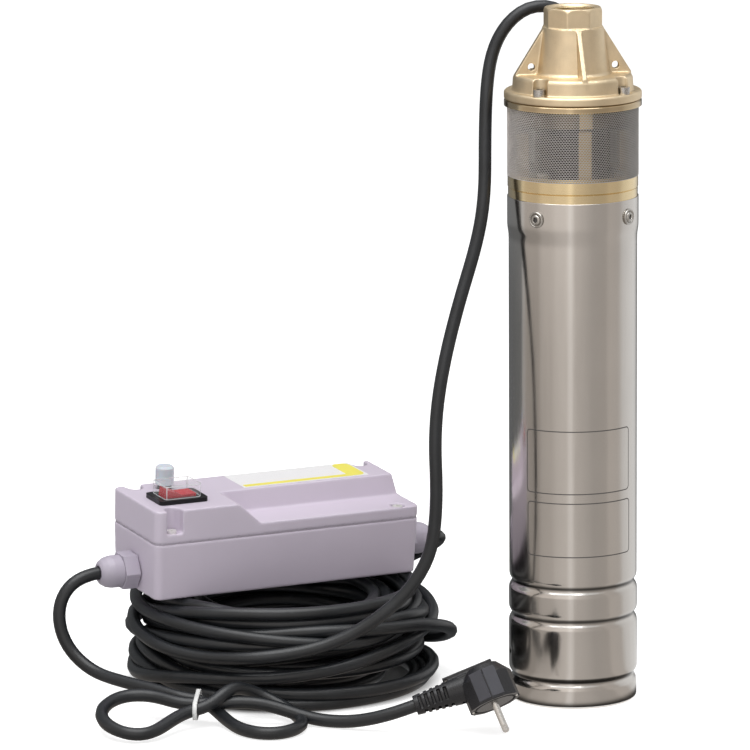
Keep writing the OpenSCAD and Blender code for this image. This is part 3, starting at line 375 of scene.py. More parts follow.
def turns(places, start, end):
    """A loose winding, clockwise from above: one place (radius, height) a turn, each with its own tilt
    and oval."""
    path = []
    tilt = rng.uniform(2.0, 11.0, len(places))
    oval = rng.uniform(0.5, 2.8, len(places))
    turn_of = rng.uniform(0, 2 * math.pi, (2, len(places)))
    count = len(places) - 1
    sweep = 2 * math.pi + ((start - end) % (2 * math.pi)) / count
    for k in range(count):
        shift = rng.uniform(0.0, 0.55)
        for i in range(turn_steps):
            t = i / turn_steps
            s = np.clip((t - shift) / 0.45, 0, 1)
            s = s * s * (3 - 2 * s)
            angle = start - sweep * (k + t)
            mix = lambda row: row[k] * (1 - s) + row[k + 1] * s
            lean = [row[k] * (1 - t) * math.cos(angle - turn_of[j][k]) + row[k + 1] * t * math.cos(
                angle - turn_of[j][k + 1]) for j, row in enumerate((tilt, oval))]
            r = mix([p[0] for p in places]) + lean[1]
            z = mix([p[1] for p in places]) + lean[0]
            path.append((coil_at[0] + r * math.cos(angle), coil_at[1] + r * math.sin(angle), z))
    return np.array(path)


enter = math.atan2(*(drop[-1][:2] - coil_at)[::-1])
leave = math.atan2(*(tail[0][:2] - coil_at)[::-1])
winding = turns(places, enter, leave)
print("loose winding", round(length_of(winding) / 1000, 2), "m")

# %% [markdown]
# One turn stands out of the coil on the right and climbs from there towards the front, as in the picture.
# Its points are moved before the coil settles and are then held in place.

# %% Let one turn swing out to the right
swing_r, swing_out, swing_z, swing_climb = 106, 14, 34, 28
swing = []
for k in range(turn_steps):
    x, y, z = winding[k] - [*coil_at, 0]
    off = (math.degrees(math.atan2(y, x)) + 190) % 360 - 180
    wide = math.exp(-(off / 24) ** 2)
    climb = math.exp(-(off / 62) ** 2)
    r = math.hypot(x, y)
    grown = (r * (1 - climb) + swing_r * climb + swing_out * wide) / r
    z += climb * (swing_z - swing_climb * math.tanh(off / 35) - z)
    winding[k] = (coil_at[0] + x * grown, coil_at[1] + y * grown, z)
    if wide > 0.2:
        swing.append(winding[k])
swing = np.array(swing)
cable = even(np.vstack([drop, winding[2:-2], tail]), 12)
print("cable before it settles", round(length_of(cable) / 1000, 2), "m in", len(cable), "points")


# %% Let the turns settle
coil_floor, coil_roof = 4.6, 67.3
coil_inner, coil_outer, coil_swing = 59.5, 109.0, 122.0


def settle(p, held, rounds, gap_wanted):
    """Push turns apart, keep each link's length, keep to the coil's walls, and stay smooth."""
    p = p.copy()
    rest = np.linalg.norm(np.diff(p, axis=0), axis=1)
    n = len(p)
    free = ~held
    index = np.arange(n)
    far = np.abs(index[:, None] - index[None, :]) > 5
    for r in range(rounds):
        if r % 2 == 0:
            d = p[:, None, :] - p[None, :, :]
            dist = np.sqrt((d**2).sum(-1)) + 1e-9
            close = far & (dist < gap_wanted)
            a, b = np.nonzero(np.triu(close))
        d = p[a] - p[b]
        dist = np.linalg.norm(d, axis=1) + 1e-9
        push = np.maximum(0, gap_wanted - dist)[:, None] * d / dist[:, None]
        wa, wb = free[a][:, None] * 1.0, free[b][:, None] * 1.0
        total = np.maximum(wa + wb, 1e-9)
        move = np.zeros_like(p)
        hits = np.zeros(n)
        np.add.at(move, a, 0.9 * push * wa / total)
        np.add.at(move, b, -0.9 * push * wb / total)
        np.add.at(hits, a, 1)
        np.add.at(hits, b, 1)
        p += move / np.maximum(1, 0.6 * hits)[:, None]
        soft = np.zeros_like(p)
        soft[2:-2] = 0.25 * (p[1:-3] + p[3:-1] - 2 * p[2:-2]) - 0.0625 * (p[:-4] + p[4:] - 2 * p[2:-2])
        p += 0.5 * soft * free[:, None]
        for start in (0, 1):
            i = np.arange(start, n - 1, 2)
            d = p[i + 1] - p[i]
            dist = np.linalg.norm(d, axis=1) + 1e-9
            fix = ((dist - rest[i]) / dist)[:, None] * d
            wa, wb = free[i][:, None] * 1.0, free[i + 1][:, None] * 1.0
            total = np.maximum(wa + wb, 1e-9)
            p[i] += 0.5 * fix * wa / total
            p[i + 1] -= 0.5 * fix * wb / total
        p[free, 2] = np.clip(p[free, 2], coil_floor, coil_roof)
        flat = p[:, :2] - coil_at
        r_now = np.linalg.norm(flat, axis=1) + 1e-9
        r_new = np.clip(r_now, coil_inner, np.where(swings_wide, coil_swing, coil_outer))
        p[free, :2] = (coil_at + flat * (r_new / r_now)[:, None])[free]
    return p


n_drop, n_tail = len(drop), len(tail)
held = np.zeros(len(cable), bool)
held[:n_drop] = True
held[-n_tail:] = True
swings_wide = np.array([np.linalg.norm(swing - q, axis=1).min() < 8 for q in cable])
held |= swings_wide
settled = settle(cable, held, rounds=160, gap_wanted=9.3)
pump_line = smooth_route(settled, 6.0)
d = np.linalg.norm(settled[:, None, :] - settled[None, :, :], axis=-1)
idx = np.arange(len(settled))
apart = d[np.abs(idx[:, None] - idx[None, :]) > 5]
print("cable", round(length_of(pump_line) / 1000, 2), "m; closest turns", round(float(apart.min()), 2), "mm")


# %% Draw a cord along its line
def cord_piece(name, line, diameter, finish_used, stands_for):
    curve = bpy.data.curves.new(name, "CURVE")
    curve.dimensions = "3D"
    curve.bevel_depth = diameter * MM / 2
    curve.bevel_resolution = 3
    curve.use_fill_caps = True
    spline = curve.splines.new("POLY")
    spline.points.add(len(line) - 1)
    for point, at in zip(spline.points, line):
        point.co = (*(at * MM), 1)
    spline.use_smooth = True
    obj = bpy.data.objects.new(name, curve)
    curve.materials.append(finish_used)
    scene.collection.objects.link(obj)
    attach(obj, "pump_set")
    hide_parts(*stands_for)
    return obj


pump_cable = cord_piece("pump_cable", pump_line, cable_d, cable_rubber,
                        ("pump_cable_drop", "pump_cable_coil", "pump_cable_tail"))
print("pump cable declared at", round(length_of(pump_line) * MM, 2), "m")

# %% [markdown]
# ## The mains lead
#
# It leaves the box's left gland, drops to the floor in front of the coil, is folded into a figure of
# eight held by a white tie, and ends in the plug. The picture shows it end to end, so its length is
# what the route measures.

# %% Lay the mains lead
lead_route = [
    (-325.69, 60.58, 88.53), (-337.6, 57.1, 87), (-348.6, 54.2, 80), (-354.6, 52.4, 67.5), (-354, 50, 51),
    (-346.8, 45.4, 36), (-333, 34, 24.6), (-316, 14, 21.4), (-294, -9, 19.2), (-278, -24.8, 16.4),
    (-265, -27.4, 15), (-257, -36, 8.6), (-251, -54, 5), (-245, -75, 4.8), (-232, -89, 4.8), (-216, -86, 4.8),
    (-205, -72, 5), (-202, -52, 5), (-210, -33, 9.4), (-229, -23.6, 18.4), (-246, -34, 25), (-257, -42.6, 20),
    (-265, -44, 14.4), (-278, -45.2, 12.4), (-291, -57, 10), (-304, -72, 7), (-318, -80, 5.8),
    (-333, -68, 7.8), (-339, -47, 11.4), (-333, -26, 15), (-318, -14.4, 18), (-300, -18, 18),
    (-287, -29.6, 16), (-278, -34.8, 14.8), (-265, -35.4, 14.6), (-250, -38, 15.4), (-230, -41.6, 15),
    (-212, -46.4, 10.4), (-196, -54, 5.8), (-181, -63, 4.8), (-166.4, -71.8, 6.4), (-153, -78.8, 10),
    (-141.2, -83.4, 14), (-129.05, -85.62, 18.43)]
lead_line = even(ease_bends(smooth_route(lead_route, 4.0), 14), 4.0)
lead_line = np.vstack([lead_line, lead_line[-1] + [5.6, -0.7, 1.9]])
mains_cord = cord_piece("mains_cord", lead_line, cable_d, cable_rubber, ("mains_lead",))

# %% [markdown]
# ## Floor and light
#
# The picture is a plain cut-out on white. A wide pale floor and a white world give that: rays from the
# camera, and from gloss, see white, while the object itself is lit by a soft sky, a large lamp above
# and a weak one in front. Rolled steel shows its round form only through what it mirrors, so a ring
# of darker and lighter shades surrounds the pump, as cards would in a studio. Only gloss sees it.

# %% Sky, lamps and floor
world = bpy.data.worlds.new("studio")
scene.world = world
world.use_nodes = True
wn = world.node_tree
soft_sky = wn.nodes["Background"]
soft_sky.inputs["Color"].default_value = (1, 1, 1, 1)
soft_sky.inputs["Strength"].default_value = 0.48
white_sky = add_node(wn, "Background", {"Strength": 1.0})
rays = add_node(wn, "LightPath", {}).outputs
seen = maths(wn, "MAXIMUM", rays["Is Camera Ray"], rays["Is Glossy Ray"])
seen = maths(wn, "MAXIMUM", seen, rays["Is Transmission Ray"])
choice = add_node(wn, "MixShader", {0: seen, 1: soft_sky.outputs[0], 2: white_sky.outputs[0]})
wn.links.new(choice.outputs[0], wn.nodes["World Output"].inputs["Surface"])


def lamp(name, at, aim, size, watts):
    light = bpy.data.lights.new(name, "AREA")
    light.shape = "SQUARE"
    light.size = size
    light.energy = watts
    obj = bpy.data.objects.new(name, light)
    obj.location = at
    obj.rotation_euler = (Vector(aim) - Vector(at)).to_track_quat("-Z", "Y").to_euler()
    scene.collection.objects.link(obj)


lamp("lamp_above", (-0.4, -0.5, 2.6), (-0.15, 0.05, 0.1), 2.4, 58)
lamp("lamp_front", (-1.1, -3.3, 1.6), (-0.1, 0, 0.2), 1.6, 17)

floor_mat = bpy.data.materials.new("floor_pale")
floor_mat.use_nodes = True
fn = floor_mat.node_tree
floor_shader = fn.nodes["Principled BSDF"]
floor_shader.inputs["Base Color"].default_value = (0.62, 0.62, 0.62, 1)
floor_shader.inputs["Roughness"].default_value = 0.9
rays = add_node(fn, "LightPath", {}).outputs
seen = maths(fn, "MAXIMUM", rays["Is Camera Ray"], rays["Is Glossy Ray"])
# under the coil no light reaches the floor, so it is not lifted there
to_coil = add_node(fn, "VectorMath", {0: place_on(fn), 1: (*(coil_at * MM), 0)}, "DISTANCE")
open_floor = add_node(fn, "MapRange", {"Value": to_coil.outputs["Value"], "From Min": 0.098, "From Max": 0.113})
floor_lift = 0.72
strength = maths(fn, "MULTIPLY", maths(fn, "MULTIPLY", seen, floor_lift), open_floor.outputs["Result"])
lift = add_node(fn, "Emission", {"Strength": strength})
both = add_node(fn, "AddShader", {0: floor_shader.outputs[0], 1: lift.outputs[0]})
fn.links.new(both.outputs[0], fn.nodes["Material Output"].inputs["Surface"])
floor_mesh = bpy.data.meshes.new("floor")
floor_mesh.from_pydata([(-9, -9, 0), (9, -9, 0), (9, 9, 0), (-9, 9, 0)], [], [(0, 1, 2, 3)])
floor_mesh.materials.append(floor_mat)
floor = bpy.data.objects.new("floor", floor_mesh)
scene.collection.objects.link(floor)
print("floor and", len(bpy.data.lights), "lamps")


# %% A ring of shades that only gloss sees
shades = [(-180, 0.10, -0.4), (-152, 0.14, -0.4), (-104, 0.17, -0.2), (-101, 0.46, 0.2), (-96, 0.44, 0.5),
          (-92, 0.37, 1), (-64, 0.37, 1), (-58, 0.49, 0.9), (-36, 0.54, 0.9), (-30, 0.62, 0.8),
          (-10, 0.68, 0.8), (-7, 0.88, 0.5), (-2, 0.88, 0.5), (2, 0.60, 0.8), (20, 0.54, 0.8),
          (36, 0.46, 0.8), (60, 0.47, 0.9), (66, 0.57, 0.9), (88, 0.55, 0.8), (99, 0.74, 0.2),
          (118, 0.84, 0.1), (140, 0.84, 0), (150, 0.66, 0), (158, 0.30, 0), (166, 0.10, 0), (180, 0.08, 0)]


def shade_ring(name, table):
    """A floor ring, dark at the pump's foot, that rises to a wall; table: angle from the camera's side,
    brightness, warmth."""
    facing = math.atan2(eye.y, eye.x)
    steps, near_floor = 240, 0.0004
    angles, levels, warmths = zip(*table)
    points, faces, glow = [], [], []
    for i in range(steps + 1):
        deg = -180 + 360 * i / steps
        level = np.interp(deg, angles, levels)
        warm = np.interp(deg, angles, warmths)
        a = facing + math.radians(deg)
        high = 1.3 - 0.35 * math.sin(math.radians(deg))
        for r, z, gain in ((0.0447, near_floor, 0.1), (0.052, near_floor, 0.15), (0.064, near_floor, 1),
                           (1.82, near_floor, 1), (1.96, near_floor, high), (2.2, near_floor, high),
                           (2.6, 2.6, high)):
            points.append((r * math.cos(a), r * math.sin(a), z))
            seen = level * gain
            glow.append((seen, seen * (1 - 0.085 * warm), seen * (1 - 0.16 * warm), 1))
    for i in range(steps):
        for j in range(6):
            q = 7 * i + j
            faces.append((q, q + 1, q + 8, q + 7))
    mesh = bpy.data.meshes.new(name)
    mesh.from_pydata(points, [], faces)
    colour = mesh.color_attributes.new("shade", "FLOAT_COLOR", "POINT")
    for item, value in zip(colour.data, glow):
        item.color = value
    mat = bpy.data.materials.new(name)
    mat.use_nodes = True
    tree = mat.node_tree
    read = add_node(tree, "Attribute", {})
    read.attribute_name = "shade"
    light = add_node(tree, "Emission", {"Color": read.outputs["Color"]})
    tree.links.new(light.outputs[0], tree.nodes["Material Output"].inputs["Surface"])
    mesh.materials.append(mat)
    obj = bpy.data.objects.new(name, mesh)
    scene.collection.objects.link(obj)
    obj.visible_camera = obj.visible_diffuse = obj.visible_shadow = obj.visible_transmission = False


shade_ring("shade_ring", shades)
print(len(shades), "shades round the pump")

# %% [markdown]
# ## Finishes on the solids that stay as they are
#
# Screws, rings, bearings, windings and the box's inner pieces have their true shape already. They keep
# their solids and get a finish.

# %% Give each solid its finish
worn = {
    brass_cast: ["delivery_head"],
    brass_turned: ["cable_gland_nut", "impeller"],
    brass_lantern: ["suction_lantern"],
    brass_flange: ["motor_flange"],
    steel_rolled: ["motor_casing", "base_cover"],
    steel_mesh: ["strainer"],
    steel_screw: ["casing_screws", "head_screws"],
    steel_zinc: ["lid_screws"],
    steel_bright: ["lantern_screws", "motor_shaft", "impeller_key",
                   "impeller_nut", "upper_bearing_outer", "lower_bearing_outer", "upper_bearing_inner",
                   "lower_bearing_inner", "upper_bearing_balls", "lower_bearing_balls", "plug_pins",
                   "plug_earth_clips"],
    steel_dark: ["stator_core", "rotor_core", "bearing_bracket"],
    copper_wire: ["stator_windings"],
    ceramic: ["seal_seat"],
    seal_rubber: ["head_o_ring", "flange_o_ring", "bracket_o_ring", "pressure_diaphragm", "seal_head",
                  "cable_gland_seal", "cable_foot_seal"],
    gasket_grey: ["lid_gasket"],
    cable_rubber: ["lead_in_cable"],
    box_plastic: ["box_base", "box_lid"],
    gland_plastic: ["gland_bodies", "gland_nuts", "gland_locknuts"],
    black_moulding: ["switch_frame", "switch_body", "reset_breaker"],
    boot_clear: ["switch_boot"],
    rocker_red: ["switch_rocker"],
    button_milky: ["reset_button"],
    pale_moulding: ["capacitor", "terminal_block"],
    plug_rubber: ["plug_body"],
    tie_nylon: ["lead_tie"],
}
for mat, names in worn.items():
    for name in names:
        obj = nodes[name]
        obj.data.materials.clear()
        obj.data.materials.append(mat)
print(sum(len(v) for v in worn.values()), "solids finished")

# %% [markdown]
# ## Soft edges on cast and moulded pieces
#
# No casting or moulding has a knife edge: corners are rounded and hollows are filled by a small radius.
# Bevelling each edge by hand is slow on shapes that cut each other. Here a copy of the solid is filled
# with a fine grid of cells and smoothed, which rounds every edge and every inner corner at once.


# %% The box's own frame
box_turn, box_tilt = math.radians(16.5), math.radians(4)
box_frame = (Matrix.Translation(Vector((-201.8, 98.3, 72.05 + 37 * math.sin(box_tilt))) * MM)
             @ Matrix.Rotation(box_turn, 4, "Z") @ Matrix.Rotation(box_tilt, 4, "X"))


def on_box(x, y, z):
    """A point of the box, in millimetres from the middle of its floor, as a place in the scene."""
    return tuple(box_frame @ Vector((x * MM, y * MM, z * MM)))


# %% Soften a copy of a solid
def softened(name, node, cell, rounds, mat, keep=1.0):
    mesh = nodes[node].data.copy()
    mesh.name = name
    work = bmesh.new()
    work.from_mesh(mesh)
    bmesh.ops.remove_doubles(work, verts=work.verts, dist=1e-6)
    work.to_mesh(mesh)
    work.free()
    obj = bpy.data.objects.new(name, mesh)
    scene.collection.objects.link(obj)
    grid = obj.modifiers.new("grid", "REMESH")
    grid.mode = "VOXEL"
    grid.voxel_size = cell * MM
    smooth = obj.modifiers.new("smooth", "SMOOTH")
    smooth.factor = 0.5
    smooth.iterations = rounds
    if keep < 1:
        thin = obj.modifiers.new("thin", "DECIMATE")
        thin.ratio = keep
    bpy.context.view_layer.update()
    ready = bpy.data.meshes.new_from_object(obj.evaluated_get(bpy.context.evaluated_depsgraph_get()))
    obj.modifiers.clear()
    obj.data = ready
    ready.materials.clear()
    ready.materials.append(mat)
    for poly in ready.polygons:
        poly.use_smooth = True
    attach(obj, "pump_set")
    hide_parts(node)
    print(name, len(ready.polygons), "faces")
    return obj


head_casting = softened("head_casting", "delivery_head", 0.5, 5, brass_cast, 0.5)
for vertex in head_casting.data.vertices:
    # the front and back ribs look thinner than in the solid: squeeze them towards their middle
    across_rib, level = abs(vertex.co.x) / MM, vertex.co.z / MM
    weight = min(1, max(0, (level - 430) / 4)) * min(1, max(0, (472 - level) / 4))
    if weight > 0 and across_rib < 9 and abs(vertex.co.y) > 0.012:
        rise = min(1, max(0, (across_rib - 2.4) / 6.6))
        vertex.co.x *= 1 - weight * 0.36 * (1 - rise * rise * (3 - 2 * rise))
softened("lid_moulding", "box_lid", 0.8, 12, box_plastic, 0.4)
base_moulding = softened("base_moulding", "box_base", 0.8, 8, box_plastic, 0.4)
softened("gland_moulding", "gland_bodies", 0.4, 3, gland_plastic, 0.5)
softened("dome_moulding", "gland_nuts", 0.4, 4, gland_plastic, 0.5)
plug_moulding = softened("plug_moulding", "plug_body", 0.32, 2, plug_rubber, 0.5)

# %% [markdown]
# ## The tie and the plug's grips
#
# The tie is a flat nylon strip pulled round the three strands. The plug's two front sides carry raised
# grip panels, in a lighter grey that paints the highlight on these lit facets. A strip could be a bent curve;
# here it is a closed band between two outlines, because the same band also makes the box's seam and the rims of
# the switch's boot.

# %% Tie the lead and face the plug
tie_frame = (Matrix.Translation(Vector((-271, -35, 14.4)) * MM) @ Matrix.Rotation(math.radians(-15), 4, "Z")
             @ Matrix.Rotation(math.radians(10), 4, "X"))


def rounded_plate(x0, y0, x1, y1, r):
    """The outline of a plate with rounded corners, seven points to a corner."""
    out = []
    corners = ((x1 - r, y1 - r), (x0 + r, y1 - r), (x0 + r, y0 + r), (x1 - r, y0 + r))
    for quarter, (cx, cy) in enumerate(corners):
        for k in range(7):
            a = math.radians(90 * quarter + 15 * k)
            out.append((cx + r * math.cos(a), cy + r * math.sin(a)))
    return out


def band(name, outer, inner, low, high, place, mat, stands_for=()):
    """A flat strip closed round an outline: place turns (outline x, outline y, along) into a point of
    the scene."""
    n = len(outer)
    rings = ((outer, low), (outer, high), (inner, high), (inner, low))
    points = [place(x, y, z) for loop, z in rings for x, y in loop]
    faces = []
    for q in range(4):
        w = (q + 1) % 4
        faces += [(q * n + k, q * n + (k + 1) % n, w * n + (k + 1) % n, w * n + k) for k in range(n)]
    return piece(name, points, faces, mat, stands_for=stands_for)


tie_band = band("tie_band", rounded_plate(-16.9, -6.7, 16.9, 6.7, 6.6),
                rounded_plate(-16.1, -5.9, 16.1, 5.9, 5.8), -1.5, 1.5,
                lambda y, z, x: tuple(tie_frame @ Vector((x * MM, y * MM, z * MM))), tie_nylon, ("lead_tie",))
plug_frame = Matrix.Translation(Vector((-79.2, -93.5, 32.3)) * MM)
for degrees, axis in ((-5.6, "Z"), (-21.9, "Y"), (-26.3, "X")):
    plug_frame = plug_frame @ Matrix.Rotation(math.radians(degrees), 4, axis)
panel_points, panel_faces = [], []
for facet in (255, 285):
    out = Vector((math.cos(math.radians(facet)), math.sin(math.radians(facet)), 0))
    along = Vector((-out.y, out.x, 0))
    base = len(panel_points)
    for depth, trim in ((17.6, 0), (18.55, 0), (18.85, 0.35)):
        half, low, high = 4.5 - trim, -12.2 + trim, 8.3 - trim
        for width, z in ((-half, low), (half, low), (half, high), (-half, high)):
            panel_points.append(tuple(plug_frame @ ((out * depth + along * width + Vector((0, 0, z))) * MM)))
    for k in range(4):
        m = (k + 1) % 4
        panel_faces += [(base + k, base + m, base + 4 + m, base + 4 + k),
                        (base + 4 + k, base + 4 + m, base + 8 + m, base + 8 + k)]
    panel_faces.append((base + 8, base + 9, base + 10, base + 11))
plug_panels = piece("plug_panels", panel_points, panel_faces, plug_panel, smooth=False)
print("tie and grip panels made")

# %% [markdown]
# ## The box's base
#
# A moulded tub narrows a little towards its floor, so that it leaves the mould. The solid's walls are
# upright, so the softened copy is narrowed point by point, most at the floor.

to_box = box_frame.inverted()
for vertex in base_moulding.data.vertices:
    at = to_box @ vertex.co
    narrow = 1 - at.z / (40 * MM)
    vertex.co = box_frame @ Vector((at.x * (1 - 0.011 * narrow), at.y * (1 - 0.03 * narrow), at.z))

# %% [markdown]
# ## The motor casing
#
# A stainless tube, rolled into three shallow grooves near its foot and swelled out at its mouth where the
# motor flange enters. It could be bent from a sheet, but a turned profile gives the soft roll of each
# groove directly: the radius at each height is a plain tube, less a bell-shaped dip at each groove.


# %% Turn a profile round the pump's axis
def turned(name, profile, mat, stands_for, segments=160, dent=None):
    """profile: closed loop of (radius, height) in mm."""
    points, faces = [], []
    n = len(profile)
    for s in range(segments):
        a = 2 * math.pi * s / segments
        for r, z in profile:
            if dent:
                r -= dent(a, r, z)
            points.append((r * MM * math.cos(a), r * MM * math.sin(a), z * MM))
    for s in range(segments):
        t = (s + 1) % segments
        for k in range(n):
            m = (k + 1) % n
            faces.append((s * n + k, t * n + k, t * n + m, s * n + m))
    return piece(name, points, faces, mat, stands_for=stands_for)


tube_r, dimple_level = 44.4, 34


def casing_radius(z):
    r = tube_r + 1.0 / (1 + math.exp(-(z - 330.6) / 1.5))
    if z < 84:
        r += 0.3
    if z < 18:
        r -= 0.4
    for level in (83.6, 60.5, 17.7):
        r -= 2.2 * math.exp(-((z - level) / 2.8) ** 2)
    if z < 3:
        r -= 2.0 * (1 - math.sqrt(max(0, 1 - ((3 - z) / 3) ** 2)))
    return r


def casing_dent(a, r, z):
    """Two dimples punched into the casing's sides."""
    spread = min(abs(a), abs(a - math.pi), abs(a - 2 * math.pi)) * tube_r
    if r < 43.6 or abs(z - dimple_level) > 5:
        return 0
    return 1.5 * math.exp(-(spread**2 + (z - dimple_level) ** 2) / 3.2)


levels = [0, 0.15, 0.5, 1, 1.7, 2.4, 3.2, 5, 8, 10.5]
for low, high, step in ((11.5, 24.5, 0.7), (25, 54, 1.1), (54.5, 67.5, 0.7), (69, 76, 2.0), (77, 91, 0.7)):
    levels += list(np.arange(low, high, step))
levels += [93, 96, 100] + list(np.arange(110, 320, 12)) + list(np.arange(322, 341, 0.7)) + [343, 346, 350, 352]
levels += [353.8, 354.3, 354.55]
skin = [(casing_radius(z) - (0.25 if z > 354.4 else 0), z) for z in levels]
lining = [(44.0, 354.6), (44.0, 334), (42.9, 329), (42.9, 95), (40.7, 84), (40.7, 17), (41.9, 10), (41.9, 0.0)]
casing_skin = turned("casing_skin", skin + lining, steel_rolled, ("motor_casing",), dent=casing_dent)
print("casing", len(casing_skin.data.polygons), "faces")

# %% [markdown]
# ## The strainer
#
# A thin stainless sheet with thousands of fine round holes, rolled into a drum. A texture with alpha would
# be lighter, but the brass columns show through real holes. Each hole is a six-sided opening in its own
# little cell, rows are staggered by half a pitch, and the sheet then gets its thickness. A narrow band
# without holes is where the sheet's ends meet. The holes at the back are made smaller than those in front.


# %% Perforate the sheet
def perforated(name, radius, low, high, pitch, row, hole, plain_at, plain_width, mat):
    count = int(round(2 * math.pi * radius / pitch))
    rows = int((high - low - 0.3) / row)
    margin = (high - low - rows * row) / 2
    heights = [low] + [low + margin + row * k for k in range(rows + 1)] + [high]
    points, faces = [], []

    def at(h, z):
        a = math.pi * h / count
        return (radius * math.cos(a) * MM, radius * math.sin(a) * MM, z * MM)

    for z in heights:
        points += [at(h, z) for h in range(2 * count)]
    grid = lambda j, h: j * 2 * count + h % (2 * count)
    for j in (0, rows + 1):
        faces += [(grid(j, h), grid(j, h + 1), grid(j + 1, h + 1), grid(j + 1, h)) for h in range(2 * count)]
    for j in range(rows):
        mid = low + margin + row * (j + 0.5)
        for k in range(count):
            h = 2 * k + (j % 2)
            rim = [grid(j + 1, h - 1), grid(j + 1, h), grid(j + 1, h + 1), grid(j + 2, h + 1), grid(j + 2, h),
                   grid(j + 2, h - 1)]
            off = (math.degrees(math.pi * h / count) - plain_at + 180) % 360 - 180
            if abs(off) * math.pi / 180 * radius < plain_width / 2:
                faces.append(tuple(rim))
                continue
            start = len(points)
            # towards the seam, at the back, the holes are made smaller: less white shows through the drum
            size = 0.57 + 0.43 * min(1, max(0, (abs(off) - 55) / 35))
            for turn in (210, 270, 330, 30, 90, 150):
                dx = size * hole[0] * math.cos(math.radians(turn))
                dz = size * hole[1] * math.sin(math.radians(turn))
                points.append(at(h + dx / (math.pi * radius / count), mid + dz))
            for q in range(6):
                w = (q + 1) % 6
                faces.append((rim[q], rim[w], start + w, start + q))
    return thicken(piece(name, points, faces, mat, stands_for=("strainer",), smooth=False), 0.8)


strainer_sheet = perforated("strainer_sheet", radius=45.35, low=368.9, high=417.5, pitch=1.95, row=1.2,
                            hole=(0.94, 0.575), plain_at=80, plain_width=5.0, mat=steel_mesh)
print("strainer", len(strainer_sheet.data.polygons), "faces before it gets its thickness")

# %% [markdown]
# ## The casing's screws
#
# Four screws hold the motor flange in the casing's mouth. Each has a dished rim, a low round head and a
# six-sided socket. The profile is turned round the screw's own axis, which points out from the pump, and
# the socket's floor is a separate dark plate: painted shade in the socket.


# %% Turn the screws
def turned_screws(name, profile, out_from, level, sides, mat, stands_for=()):
    """profile: loop of (radius, distance out) in mm, repeated on the four diagonals of the pump."""
    points, faces = [], []
    n = len(profile)
    for corner in range(4):
        a = math.radians(45 + 90 * corner)
        base = len(points)
        for s in range(sides):
            b = 2 * math.pi * s / sides
            for r, out in profile:
                side = r * math.cos(b)
                reach = out_from + out
                points.append(((reach * math.cos(a) - side * math.sin(a)) * MM,
                               (reach * math.sin(a) + side * math.cos(a)) * MM, (level + r * math.sin(b)) * MM))
        for s in range(sides):
            t = (s + 1) % sides
            for k in range(n - 1):
                faces.append((base + s * n + k, base + t * n + k, base + t * n + k + 1, base + s * n + k + 1))
    return piece(name, points, faces, mat, stands_for=stands_for)


screw_level, screw_seat = 354.6 - 11.6, 45.5
screw_profile = [(1.75, 0.5), (1.8, 1.75), (2.0, 1.9), (2.7, 1.85), (3.3, 1.4), (3.6, 0.7), (3.7, 0.1),
                 (4.05, 0.05), (4.25, 0.95), (4.7, 1.4), (5.3, 1.25), (5.6, 0.7), (5.65, 0.0), (2.5, 0.0),
                 (2.5, -10.0), (0.01, -10.0)]
# the socket's dark floor plate is painted shade in the recess
socket_shade_floor = [(0.01, 0.52), (1.3, 0.5), (1.78, 0.5)]
turned_screws("screw_heads", screw_profile, screw_seat, screw_level, 36, steel_screw, ("casing_screws",))
turned_screws("socket_shade_plates", socket_shade_floor, screw_seat, screw_level, 6, print_and_shade_grey)
print("screws on four diagonals")

# %% [markdown]
# ## The outlet thread
#
# The outlet takes a one-inch pipe. Its thread is one ridge that winds down the bore. It could be a stack of
# rings, but a ring has no lead and looks wrong from above, so one helix is swept with a small ridge.

# %% Wind the thread
thread_points, thread_faces = [], []
per_turn, lead_mm = 64, 2.31
bore_r, ridge = 15.35, 0.75
count = int(per_turn * 5.6)
for i in range(count + 1):
    a = 2 * math.pi * i / per_turn
    fade = min(1, i / 16, (count - i) / 16)
    z = 483.0 - lead_mm * i / per_turn
    crest_r = bore_r - ridge * fade
    for r, dz in ((bore_r, 0.85), (crest_r, 0.2), (crest_r, -0.2), (bore_r, -0.85)):
        thread_points.append((r * MM * math.cos(a), r * MM * math.sin(a), (z + dz) * MM))
for i in range(count):
    for k in range(4):
        q, m = 4 * i + k, 4 * i + (k + 1) % 4
        thread_faces.append((q, m, m + 4, q + 4))
piece("outlet_ridge", thread_points, thread_faces, brass_turned)
print("thread", round(count / per_turn, 1), "turns")

# %% [markdown]
# ## The lid's label
#
# A pale sticker lies on the raised ridge of the lid, with a yellow band along its front edge that ends in a
# wider yellow field. The sticker here is left plain. It is cut as a thin plate with rounded corners, laid
# a tenth of a millimetre above the lid.


# %% Lay thin plates on the lid
def sticker(name, outline, z, mat, thick=0.12):
    top = [on_box(x, y, z + thick) for x, y in outline]
    bottom = [on_box(x, y, z) for x, y in outline]
    n = len(outline)
    faces = [tuple(range(n)), tuple(range(2 * n - 1, n - 1, -1))]
    faces += [(k, n + k, n + (k + 1) % n, (k + 1) % n) for k in range(n)]
    return piece(name, top + bottom, faces, mat, smooth=False)


sticker("label_sheet", rounded_plate(-17.5, 0.6, 80.6, 35, 1.2), 64.32, label_white)
sticker("label_band", rounded_plate(-15.6, 2.4, 69, 7.4, 0.5), 64.45, label_yellow)
sticker("label_field", rounded_plate(66, 2.4, 79.2, 34.2, 5.0), 64.46, label_yellow)
print("label laid")

# %% [markdown]
# ## The seam between lid and base
#
# The lid's rim and the base's rim meet on a rubber gasket. On the real box the gap is a fine line, because
# the rims nearly touch. A band of the gasket's width closes the gap to half a millimetre below the wall.

# %% Close the seam
band("seam_band", rounded_plate(-101.9, -36.4, 101.9, 36.4, 4.6), rounded_plate(-96, -30.5, 96, 30.5, 3),
     38.4, 42.4, on_box, gasket_grey, ("lid_gasket",))
print("seam closed")

